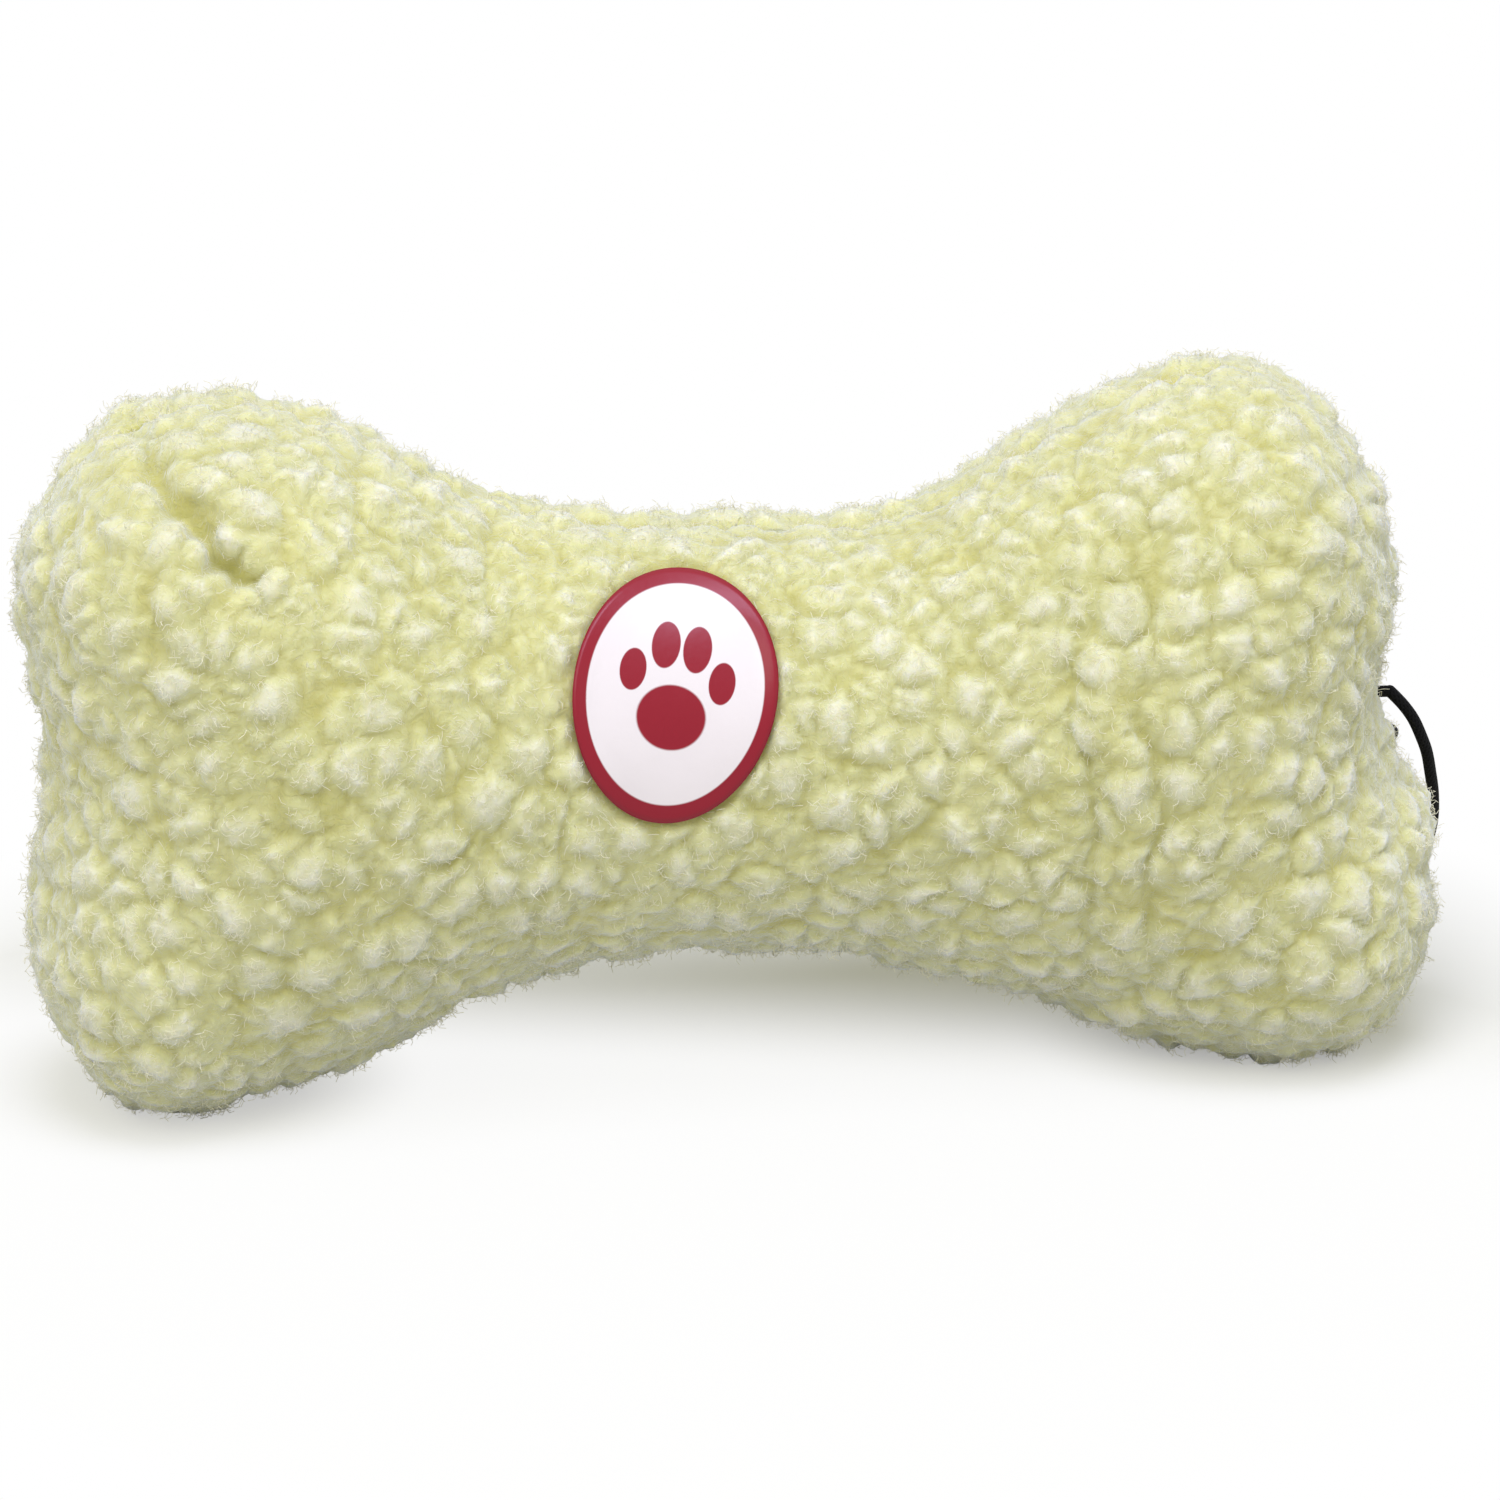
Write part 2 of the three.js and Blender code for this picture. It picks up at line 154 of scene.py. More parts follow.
def link(name: str, mesh: bpy.types.Mesh) -> bpy.types.Object:
    """Object for a mesh, linked to the scene.

    Args:
        name: Name of the object and its mesh.
        mesh: The mesh.

    Returns:
        The object.
    """
    mesh.name = name
    made = bpy.data.objects.new(name, mesh)
    bpy.context.scene.collection.objects.link(made)
    return made


def baked(source: bpy.types.Object, name: str) -> bpy.types.Object:
    """Object with the source's evaluated mesh, in the source's place.

    Args:
        source: Object with modifiers, which is removed.
        name: Name of the new object.

    Returns:
        The new object, without modifiers.
    """
    graph = bpy.context.evaluated_depsgraph_get()
    mesh = bpy.data.meshes.new_from_object(
        source.evaluated_get(graph), preserve_all_data_layers=True, depsgraph=graph
    )
    bpy.data.objects.remove(source)
    return link(name, mesh)


def points_of(mesh: bpy.types.Mesh) -> np.ndarray:
    """Rows of X, Y and Z of a mesh's vertices.

    Args:
        mesh: The mesh.

    Returns:
        The vertices.
    """
    flat = np.empty(3 * len(mesh.vertices), np.float32)
    mesh.vertices.foreach_get("co", flat)
    return flat.reshape(-1, 3).astype(float)


def set_points(mesh: bpy.types.Mesh, points: np.ndarray) -> None:
    """Moves a mesh's vertices.

    Args:
        mesh: The mesh.
        points: Rows of X, Y and Z.
    """
    mesh.vertices.foreach_set("co", np.asarray(points, np.float32).ravel())
    mesh.update()


def set_values(mesh: bpy.types.Mesh, name: str, values: np.ndarray) -> None:
    """Stores one value for each vertex.

    Args:
        mesh: The mesh.
        name: Name of the attribute.
        values: The values.
    """
    attribute = mesh.attributes.new(name, "FLOAT", "POINT")
    attribute.data.foreach_set("value", np.asarray(values, np.float32))


def smooth_line(points: np.ndarray, count: int) -> np.ndarray:
    """Catmull-Rom line through points, at even steps along it.

    Args:
        points: Rows of X, Y and Z to pass through.
        count: Number of points in the line.

    Returns:
        The line's points.
    """
    padded = np.vstack([2 * points[0] - points[1], points, 2 * points[-1] - points[-2]])
    fine = []
    for a, b, c, d in zip(padded, padded[1:], padded[2:], padded[3:]):
        square, cube = 2 * a - 5 * b + 4 * c - d, 3 * b - a - 3 * c + d
        for t in np.linspace(0, 1, LINE_STEPS, endpoint=False):
            fine.append(0.5 * (2 * b + (c - a) * t + square * t**2 + cube * t**3))
    fine = np.vstack([fine, points[-1]])
    reach = np.concatenate([[0], np.cumsum(np.linalg.norm(np.diff(fine, axis=0), axis=1))])
    even = np.linspace(0, reach[-1], count)
    return np.stack([np.interp(even, reach, fine[:, axis]) for axis in range(3)], axis=1)


@dataclass(frozen=True)
class Lobe:
    """One of the four lobes, with its crest and tip measured along the bone from the middle of the waist."""

    crest: float
    tip: float
    end: float
    height: float


@dataclass(frozen=True)
class Lump:
    """Swelling or hollow that the filling leaves, measured from the middle of the waist."""

    x: float
    z: float
    reach: float
    height: float


@dataclass(frozen=True)
class BoneForm:
    """Outside of the stuffed bone, to the tips of its pile: a shaft, two swollen ends and four lobes."""

    waist_height: float = 0.0726
    waist_thickness: float = 0.062
    shaft_half_length: float = 0.060
    end_height: float = 0.1154
    core_offset: float = 0.069
    core_halves: Point = (0.036, 0.0355, 0.052)
    lobe_half_thickness: float = 0.032
    lobe_half_height: float = 0.026
    shaft_blend: float = 0.036
    lobe_blend: float = 0.027
    lobes: tuple[Lobe, ...] = (
        Lobe(0.0855, 0.111, -1, 1),
        Lobe(0.0915, 0.1115, -1, -1),
        Lobe(0.085, 0.106, 1, 1),
        Lobe(0.094, 0.1185, 1, -1),
    )
    lumps: tuple[Lump, ...] = (
        Lump(0.1150, -0.0160, 0.0060, 0.0021),
        Lump(0.1090, 0.0095, 0.0070, -0.0024),
        Lump(0.1100, -0.0020, 0.0080, -0.0005),
        Lump(0.0360, -0.0390, 0.014, 0.0018),
        Lump(0.0520, -0.0440, 0.014, -0.0020),
        Lump(0.0240, 0.0360, 0.014, -0.0016),
        Lump(0.1050, 0.0240, 0.014, 0.0006),
        Lump(0.1000, 0.0440, 0.012, -0.0012),
        Lump(0.1140, -0.0270, 0.010, -0.0010),
        Lump(-0.0280, 0.0370, 0.014, 0.0012),
        Lump(-0.0840, 0.0540, 0.014, -0.0006),
        Lump(-0.1040, 0.0460, 0.010, -0.0016),
        Lump(-0.1080, -0.0450, 0.010, -0.0013),
        Lump(-0.0450, -0.0400, 0.014, -0.0010),
        Lump(-0.0070, -0.0370, 0.012, -0.0014),
    )
    shaft_share: float = 0.36
    ray_length: float = 0.2
    ray_halvings: int = 40
    centre: Point = MIDDLE

    @staticmethod
    def ellipsoid(points: np.ndarray, halves: Point) -> np.ndarray:
        """Distance to an ellipsoid about the origin.

        Args:
            points: Rows of X, Y and Z.
            halves: Half lengths along the three axes.

        Returns:
            Distances, negative within.
        """
        inside = np.linalg.norm(points / np.array(halves), axis=-1)
        slope = np.linalg.norm(points / np.array(halves) ** 2, axis=-1)
        return inside * (inside - 1) / np.maximum(slope, 1e-9)

    @staticmethod
    def blend(first: np.ndarray, second: np.ndarray, reach: float) -> np.ndarray:
        """Union of two distances with a fillet.

        Args:
            first: Distances to one form.
            second: Distances to the other.
            reach: Reach of the fillet.

        Returns:
            Distances to the union.
        """
        overlap = np.maximum(reach - np.abs(first - second), 0) / reach
        return np.minimum(first, second) - overlap**3 * reach / 6

    def distance(self, points: np.ndarray) -> np.ndarray:
        """Distance to the bone's outside.

        Args:
            points: Rows of X, Y and Z in the row frame.

        Returns:
            Distances, negative within.
        """
        local = np.asarray(points, float) - np.array(self.centre)
        x, y, z = np.moveaxis(local, -1, 0)
        past = np.maximum(np.abs(x) - self.shaft_half_length, 0)
        round_y = y * self.waist_height / self.waist_thickness
        shaft = np.sqrt(past**2 + round_y**2 + z**2) - self.waist_height / 2
        core = self.ellipsoid(np.stack([np.abs(x) - self.core_offset, y, z], axis=-1), self.core_halves)
        result = self.blend(shaft, core, self.shaft_blend)
        rise = self.end_height / 2 - self.lobe_half_height
        for lobe in self.lobes:
            middle = np.array([lobe.end * lobe.crest, 0, lobe.height * rise])
            halves = (lobe.tip - lobe.crest, self.lobe_half_thickness, self.lobe_half_height)
            result = self.blend(result, self.ellipsoid(local - middle, halves), self.lobe_blend)
        for lump in self.lumps:
            away = ((x - lump.x) ** 2 + (z - lump.z) ** 2) / lump.reach**2
            result = result - lump.height * np.exp(-away)
        return result

    def slope(self, points: np.ndarray, step: float = 0.0004) -> np.ndarray:
        """Rise of the distance along each axis.

        Args:
            points: Rows of X, Y and Z.
            step: Distance over which the slope is taken.

        Returns:
            Rows of three slopes.
        """
        slopes = [
            self.distance(points + step * np.eye(3)[axis]) - self.distance(points - step * np.eye(3)[axis])
            for axis in range(3)
        ]
        return np.stack(slopes, axis=-1) / (2 * step)

    def outward(self, points: np.ndarray) -> np.ndarray:
        """Unit vectors straight out of the bone at the given points."""
        return unit(self.slope(points))

    def settled(self, points: np.ndarray, levels: np.ndarray, rounds: int = 3) -> np.ndarray:
        """Points moved straight in or out to the given levels.

        Args:
            points: Rows of X, Y and Z near the outside.
            levels: Wanted distance of each point, negative within.
            rounds: Corrections that are made.

        Returns:
            The moved points.
        """
        for _ in range(rounds):
            slope = self.slope(points)
            short = (levels - self.distance(points)) / np.maximum(np.sum(slope**2, axis=1), 1e-6)
            points = points + slope * short[:, None]
        return points

    def cast(self, starts: np.ndarray, directions: np.ndarray, depth: float) -> np.ndarray:
        """Where rays from within meet the layer at a depth.

        Args:
            starts: Rows of X, Y and Z within the bone.
            directions: Unit vectors.
            depth: Depth below the outside.

        Returns:
            The points that the rays meet.
        """
        near = np.zeros(len(starts))
        far = np.full(len(starts), self.ray_length)
        for _ in range(self.ray_halvings):
            middle = (near + far) / 2
            within = self.distance(starts + directions * middle[:, None]) + depth < 0
            near = np.where(within, middle, near)
            far = np.where(within, far, middle)
        return starts + directions * far[:, None]

    def ring(self, share: float, turns: np.ndarray, depth: float) -> np.ndarray:
        """Points round the bone at one place along it.

        Args:
            share: Place along the bone, from -1 at the left tip to 1 at the right one.
            turns: Angles round the bone from the top seam.
            depth: Depth below the outside.

        Returns:
            The points, in the order of the turns.
        """
        side = math.copysign(1, share)
        along = side * min(abs(share) / self.shaft_share, 1) * self.core_offset
        fan = max((abs(share) - self.shaft_share) / (1 - self.shaft_share), 0) * math.pi / 2
        start = np.array(self.centre) + np.array([along, 0, 0])
        around = np.stack([np.zeros_like(turns), np.sin(turns), np.cos(turns)], axis=1) * math.cos(fan)
        directions = around + np.array([side * math.sin(fan), 0, 0])
        return self.cast(np.tile(start, (len(turns), 1)), directions, depth)

    def skin(self, columns: int, meridians: int, depth: float) -> tuple[np.ndarray, list]:
        """Closed surface of the layer at a depth.

        Args:
            columns: Steps from end to end.
            meridians: Steps round the bone.
            depth: Depth below the outside.

        Returns:
            The points and the faces, which face out.
        """
        turns = np.linspace(0, 2 * math.pi, meridians, endpoint=False)
        shares = np.linspace(-1, 1, columns + 1)
        rings = [self.ring(share, turns, depth) for share in shares[1:-1]]
        tips = [self.ring(share, turns[:1], depth) for share in (-1.0, 1.0)]
        points = np.vstack([*rings, *tips])
        left, right = len(points) - 2, len(points) - 1
        faces = []
        for i in range(columns - 2):
            for j in range(meridians):
                k = (j + 1) % meridians
                a, b = i * meridians, (i + 1) * meridians
                faces.append((a + j, a + k, b + k, b + j))
        last = (columns - 2) * meridians
        for j in range(meridians):
            k = (j + 1) % meridians
            faces.append((left, k, j))
            faces.append((right, last + j, last + k))
        return points, faces

    def seam_line(self, count: int, depth: float) -> np.ndarray:
        """Closed line of the seam at a depth, from the left tip over the top and back underneath.

        Args:
            count: Points on each of its two halves.
            depth: Depth below the outside.

        Returns:
            The line's points, the last one before the first.
        """
        shares = np.linspace(-1, 1, count + 1)
        top = [self.ring(share, np.array([0.0]), depth)[0] for share in shares[:-1]]
        under = [self.ring(share, np.array([math.pi]), depth)[0] for share in shares[:0:-1]]
        return np.vstack([top, under])


class Graph:
    """Adds nodes to a tree and joins them."""

    def __init__(self, tree: bpy.types.NodeTree) -> None:
        """Keeps the tree that the nodes go in."""
        self.tree = tree

    def node(self, kind: str, feeds: dict | None = None, **settings: object) -> bpy.types.Node:
        """New node.

        Args:
            kind: Type name of the node.
            feeds: Value or output socket for each input, by its name or number.
            settings: The node's own settings.

        Returns:
            The node.
        """
        made = self.tree.nodes.new(kind)
        for key, value in settings.items():
            setattr(made, key, value)
        for key, value in (feeds or {}).items():
            self.feed(made.inputs[key], value)
        return made

    def feed(self, socket: bpy.types.NodeSocket, value: object) -> None:
        """Sets an input, or joins it to an output.

        Args:
            socket: The input.
            value: A value, or the output socket to join.
        """
        if isinstance(value, bpy.types.NodeSocket):
            self.tree.links.new(value, socket)
        else:
            socket.default_value = value

    def math(self, operation: str, *values: object) -> bpy.types.NodeSocket:
        """Result of a sum on numbers.

        Args:
            operation: Name of the operation.
            values: Numbers or sockets.

        Returns:
            The output socket.
        """
        return self.node("ShaderNodeMath", dict(enumerate(values)), operation=operation).outputs[0]

    def seen(self) -> bpy.types.NodeSocket:
        """Whether a ray shows the surroundings: from the camera, a gloss or a clear material.

        Returns:
            The output socket, 1 for such a ray.
        """
        rays = self.node("ShaderNodeLightPath").outputs
        mirrored = self.math("MAXIMUM", rays["Is Glossy Ray"], rays["Is Transmission Ray"])
        return self.math("MAXIMUM", rays["Is Camera Ray"], mirrored)

    def vector(self, operation: str, *values: object) -> bpy.types.NodeSocket:
        """Result of a sum on vectors.

        Args:
            operation: Name of the operation.
            values: Vectors or sockets.

        Returns:
            The output socket, a number for a length.
        """
        made = self.node("ShaderNodeVectorMath", dict(enumerate(values)), operation=operation)
        return made.outputs["Value" if operation in {"LENGTH", "DOT_PRODUCT"} else "Vector"]

    def scaled(self, vector: bpy.types.NodeSocket, factor: object) -> bpy.types.NodeSocket:
        """A vector times a number.

        Args:
            vector: The vector's socket.
            factor: A number or socket.

        Returns:
            The output socket.
        """
        made = self.node("ShaderNodeVectorMath", {0: vector, "Scale": factor}, operation="SCALE")
        return made.outputs["Vector"]

    def ranged(self, value: object, low: object, high: object, to_low: float = 0.0, to_high: float = 1.0,
               smooth: bool = True) -> bpy.types.NodeSocket:
        """A value carried from one range to another.

        Args:
            value: Number or socket.
            low: Start of the range.
            high: End of the range.
            to_low: Result at the start.
            to_high: Result at the end.
            smooth: Whether the change is smooth at both ends.

        Returns:
            The output socket.
        """
        feeds = {0: value, 1: low, 2: high, 3: to_low, 4: to_high}
        kind = "SMOOTHSTEP" if smooth else "LINEAR"
        return self.node("ShaderNodeMapRange", feeds, interpolation_type=kind).outputs[0]

    def mixed(self, factor: object, first: object, second: object,
              blend: str = "MIX") -> bpy.types.NodeSocket:
        """Mix of two colours.

        Args:
            factor: Share of the second one.
            first: Colour or socket.
            second: Colour or socket.
            blend: Way of mixing.

        Returns:
            The output socket.
        """
        feeds = {0: factor, 6: rgba(first), 7: rgba(second)}
        return self.node("ShaderNodeMix", feeds, data_type="RGBA", blend_type=blend).outputs[2]

    def noise(self, vector: object, scale: object, detail: float = 2.0, output: str = "Fac",
              roughness: float = 0.5) -> bpy.types.NodeSocket:
        """Soft noise.

        Args:
            vector: Socket of the place.
            scale: Number of swells in a metre.
            detail: Octaves.
            output: "Fac" for a number, "Color" for three.
            roughness: Weight of the finer octaves.

        Returns:
            The output socket.
        """
        feeds = {"Vector": vector, "Scale": scale, "Detail": detail, "Roughness": roughness}
        return self.node("ShaderNodeTexNoise", feeds).outputs[output]

    def entry(self, inputs: dict[str, tuple[str, object]], outputs: dict[str, str]) -> bpy.types.Node:
        """Adds the tree's own inputs and outputs.

        Args:
            inputs: Socket type and first value of each input; None for no value.
            outputs: Socket type of each output.

        Returns:
            The node that gives the inputs.
        """
        for name, (kind, value) in inputs.items():
            item = self.tree.interface.new_socket(name=name, in_out="INPUT", socket_type=kind)
            if value is not None:
                item.default_value = value
        for name, kind in outputs.items():
            self.tree.interface.new_socket(name=name, in_out="OUTPUT", socket_type=kind)
        return self.node("NodeGroupInput")

    def exit(self, **values: bpy.types.NodeSocket) -> None:
        """Joins the tree's outputs, in order.

        Args:
            values: Output sockets by any name, in the order of the tree's outputs.
        """
        self.node("NodeGroupOutput", dict(enumerate(values.values())))

    def stored(self, name: str) -> bpy.types.NodeSocket:
        """A number that the mesh keeps at each point or face.

        Args:
            name: Name of the attribute.

        Returns:
            The output socket.
        """
        return self.node("GeometryNodeInputNamedAttribute", {"Name": name}, data_type="FLOAT").outputs[0]

    def finish(self, shape: bpy.types.NodeSocket, material: bpy.types.NodeSocket) -> None:
        """Ends a Geometry Nodes tree with a plain, smooth and dressed mesh.

        Args:
            shape: Socket of the geometry.
            material: Socket of its material.
        """
        smooth = self.node("GeometryNodeSetShadeSmooth", {"Geometry": shape}).outputs[0]
        whole = self.node("GeometryNodeRealizeInstances", {"Geometry": smooth}).outputs[0]
        dressed = self.node("GeometryNodeSetMaterial", {"Geometry": whole, "Material": material})
        self.exit(geometry=dressed.outputs[0])


def rgba(colour: object) -> object:
    """A colour with full opacity, or a socket as it is.

    Args:
        colour: Three shares, or an output socket.

    Returns:
        Four shares, or the socket.
    """
    return colour if isinstance(colour, bpy.types.NodeSocket) else (*colour, 1.0)


def add_nodes(target: bpy.types.Object, tree: bpy.types.NodeTree, **values: object) -> None:
    """Puts a Geometry Nodes modifier on an object.

    Args:
        target: The object.
        tree: The node tree.
        values: Inputs by name, with underscores for spaces.
    """
    modifier = target.modifiers.new(tree.name, "NODES")
    modifier.node_group = tree
    wanted = {key.replace("_", " "): value for key, value in values.items()}
    for item in tree.interface.items_tree:
        if item.item_type == "SOCKET" and item.in_out == "INPUT" and item.name.lower() in wanted:
            modifier[item.identifier] = wanted[item.name.lower()]


class ShaderGroups:
    """Shader effects that several finishes share."""

    @staticmethod
    def fibre_grain() -> bpy.types.NodeTree:
        """Fine tangled fibres as a height.

        Returns:
            The node group.
        """
        tree = bpy.data.node_groups.new("fibre_grain", "ShaderNodeTree")
        g = Graph(tree)
        ins = g.entry(
            {"Vector": ("NodeSocketVector", None), "Fibres per metre": ("NodeSocketFloat", 1400.0)},
            {"Height": "NodeSocketFloat"},
        ).outputs
        bend = g.noise(ins["Vector"], g.math("MULTIPLY", ins["Fibres per metre"], 0.18), 2.0, "Color")
        swirl = g.scaled(g.vector("SUBTRACT", bend, NOISE_MIDDLE), 0.006)
        place = g.vector("ADD", ins["Vector"], swirl)
        strands = []
        for stretch in ((1.0, 0.22, 0.3), (0.25, 0.3, 1.0), (0.3, 1.0, 0.22)):
            laid = g.vector("MULTIPLY", place, stretch)
            strands.append(g.noise(laid, ins["Fibres per metre"], 1.0))
        height = g.math("MAXIMUM", g.math("MAXIMUM", strands[0], strands[1]), strands[2])
        g.exit(height=height)
        return tree

    @staticmethod
    def soft_mottle() -> bpy.types.NodeTree:
        """Uneven tone of a colour.

        Returns:
            The node group.
        """
        tree = bpy.data.node_groups.new("soft_mottle", "ShaderNodeTree")
        g = Graph(tree)
        ins = g.entry(
            {
                "Vector": ("NodeSocketVector", None),
                "Colour": ("NodeSocketColor", (1, 1, 1, 1)),
                "Swells per metre": ("NodeSocketFloat", 60.0),
                "Spread": ("NodeSocketFloat", 0.1),
            },
            {"Colour": "NodeSocketColor"},
        ).outputs
        swell = g.noise(ins["Vector"], ins["Swells per metre"], 3.0)
        low = g.math("SUBTRACT", 1.0, ins["Spread"])
        high = g.math("ADD", 1.0, ins["Spread"])
        level = g.node("ShaderNodeMapRange", {0: swell, 1: 0.3, 2: 0.7, 3: low, 4: high}).outputs[0]
        g.exit(colour=g.scaled(ins["Colour"], level))
        return tree


@dataclass(frozen=True)
class Finish:
    """Surface of one kind of material."""

    name: str
    colour: Rgb
    roughness: float
    slot: str

    def start(
        self, place: Place = Place.OBJECT
    ) -> tuple[bpy.types.Material, Graph, bpy.types.NodeSocket, bpy.types.Node]:
        """New material with its main shader.

        Args:
            place: What the pattern is measured from.

        Returns:
            The material, its graph, the place's socket and the Principled node.
        """
        made = bpy.data.materials.new(self.name)
        made.use_nodes = True
        made.node_tree.nodes.clear()
        g = Graph(made.node_tree)
        spot = g.node("ShaderNodeTexCoord").outputs[place.value]
        feeds = {"Base Color": rgba(self.colour), "Roughness": self.roughness}
        shader = g.node("ShaderNodeBsdfPrincipled", feeds)
        g.node("ShaderNodeOutputMaterial", {"Surface": shader.outputs[0]})
        return made, g, spot, shader

    @staticmethod
    def group(g: Graph, tree: str, feeds: dict) -> bpy.types.NodeSocket:
        """First output of a shared node group.

        Args:
            g: Graph of the material.
            tree: Name of the group.
            feeds: Values or sockets of its inputs.

        Returns:
            The output socket.
        """
        made = g.node("ShaderNodeGroup", node_tree=bpy.data.node_groups[tree])
        for key, value in feeds.items():
            g.feed(made.inputs[key], value)
        return made.outputs[0]

    @staticmethod
    def bump(g: Graph, height: bpy.types.NodeSocket, strength: float, depth: float) -> bpy.types.NodeSocket:
        """Normal of a surface with a fine relief.

        Args:
            g: Graph of the material.
            height: Socket of the relief.
            strength: Share of the relief that shows.
            depth: Depth of the relief.

        Returns:
            The normal's socket.
        """
        feeds = {"Strength": strength, "Distance": depth, "Height": height}
        return g.node("ShaderNodeBump", feeds).outputs[0]


@dataclass(frozen=True)
class PileFinish(Finish):
    """Curly pile, coloured by the height of its nubs: painted shade, olive and darker, down between them, and
    a painted highlight, pale, at their tips.
    """

    # Painted shade between the nubs, and painted highlight at their tips
    painted_crevice_shade: Rgb
    tip: Rgb
    fibre_strength: float = 0.55
    fibre_depth: float = 0.0012
    fibres: float = 1700.0
    tone_range: tuple[float, float] = (0.955, 1.03)
    blue_range: tuple[float, float] = (0.90, 1.06)
    sheen: float = 0.9
    sheen_tint: Rgb = (0.88, 0.93, 1.0)
    glow: float = 0.85
    glow_depth: float = 0.0036

    def build(self) -> bpy.types.Material:
        """Makes the material.

        Returns:
            The material.
        """
        made, g, spot, shader = self.start()
        pile = g.node("ShaderNodeAttribute", attribute_name="pile").outputs["Fac"]
        tone = g.node("ShaderNodeAttribute", attribute_name="nub_tone").outputs["Fac"]
        # Painted shade low in the pile and painted highlight at the tips of the nubs
        lower = g.mixed(g.ranged(pile, 0.05, 0.55), self.painted_crevice_shade, self.colour)
        upper = g.mixed(g.ranged(pile, 0.5, 1.0), lower, self.tip)
        toned = g.mixed(1.0, upper, g.node("ShaderNodeCombineColor", {
            0: g.ranged(tone, 0.0, 1.0, *self.tone_range),
            1: g.ranged(tone, 0.0, 1.0, *self.tone_range),
            2: g.ranged(tone, 0.0, 1.0, *self.blue_range),
        }).outputs[0], "MULTIPLY")
        feeds = {"Vector": spot, "Colour": toned, "Swells per metre": 45.0, "Spread": 0.035}
        g.feed(shader.inputs["Base Color"], self.group(g, "soft_mottle", feeds))
        grain = self.group(g, "fibre_grain", {"Vector": spot, "Fibres per metre": self.fibres})
        g.feed(shader.inputs["Normal"], self.bump(g, grain, self.fibre_strength, self.fibre_depth))
        shader.inputs["Specular IOR Level"].default_value = 0.12
        shader.inputs["Sheen Weight"].default_value = self.sheen
        shader.inputs["Sheen Roughness"].default_value = 0.55
        shader.inputs["Sheen Tint"].default_value = rgba(self.sheen_tint)
        shader.inputs["Subsurface Weight"].default_value = self.glow
        shader.inputs["Subsurface Radius"].default_value = (1.0, 0.9, 0.5)
        shader.inputs["Subsurface Scale"].default_value = self.glow_depth
        return made


@dataclass(frozen=True)
class FibreFinish(Finish):
    """Loose or spun fibres: thread, filling and stray hairs."""

    fibres: float = 1500.0
    strength: float = 0.5
    spread: float = 0.08
    sheen: float = 0.2

    def build(self) -> bpy.types.Material:
        """Makes the material.

        Returns:
            The material.
        """
        made, g, spot, shader = self.start()
        feeds = {"Vector": spot, "Colour": rgba(self.colour)}
        feeds |= {"Swells per metre": 140.0, "Spread": self.spread}
        g.feed(shader.inputs["Base Color"], self.group(g, "soft_mottle", feeds))
        grain = self.group(g, "fibre_grain", {"Vector": spot, "Fibres per metre": self.fibres})
        g.feed(shader.inputs["Normal"], self.bump(g, grain, self.strength, 0.0008))
        shader.inputs["Specular IOR Level"].default_value = 0.2
        shader.inputs["Sheen Weight"].default_value = self.sheen
        shader.inputs["Sheen Roughness"].default_value = 0.5
        return made


@dataclass(frozen=True)
class BraidFinish(Finish):
    """Braided cover of a cord, in crossing slanted strands round it, with painted shade between the strands
    and a painted highlight on their crowns.
    """

    strands: float = 8.0
    picks: float = 90.0

    def build(self) -> bpy.types.Material:
        """Makes the material.

        Returns:
            The material.
        """
        made, g, spot, shader = self.start(Place.UV)
        parts = g.node("ShaderNodeSeparateXYZ", {0: spot}).outputs
        along = g.math("MULTIPLY", parts[0], self.picks)
        around = g.math("MULTIPLY", parts[1], self.strands)
        waves = []
        for lean in ("ADD", "SUBTRACT"):
            slant = g.math("MULTIPLY", g.math(lean, along, around), math.pi)
            waves.append(g.math("ABSOLUTE", g.math("SINE", slant)))
        weave = g.math("MAXIMUM", waves[0], waves[1])
        # Painted shade between the strands and painted highlight on their crowns
        shade = g.ranged(weave, 0.55, 1.0, 0.55, 1.25)
        dye = g.node("ShaderNodeRGB").outputs[0]
        dye.default_value = rgba(self.colour)
        g.feed(shader.inputs["Base Color"], g.scaled(dye, shade))
        g.feed(shader.inputs["Normal"], self.bump(g, weave, 0.7, 0.0003))
        shader.inputs["Specular IOR Level"].default_value = 0.15
        return made


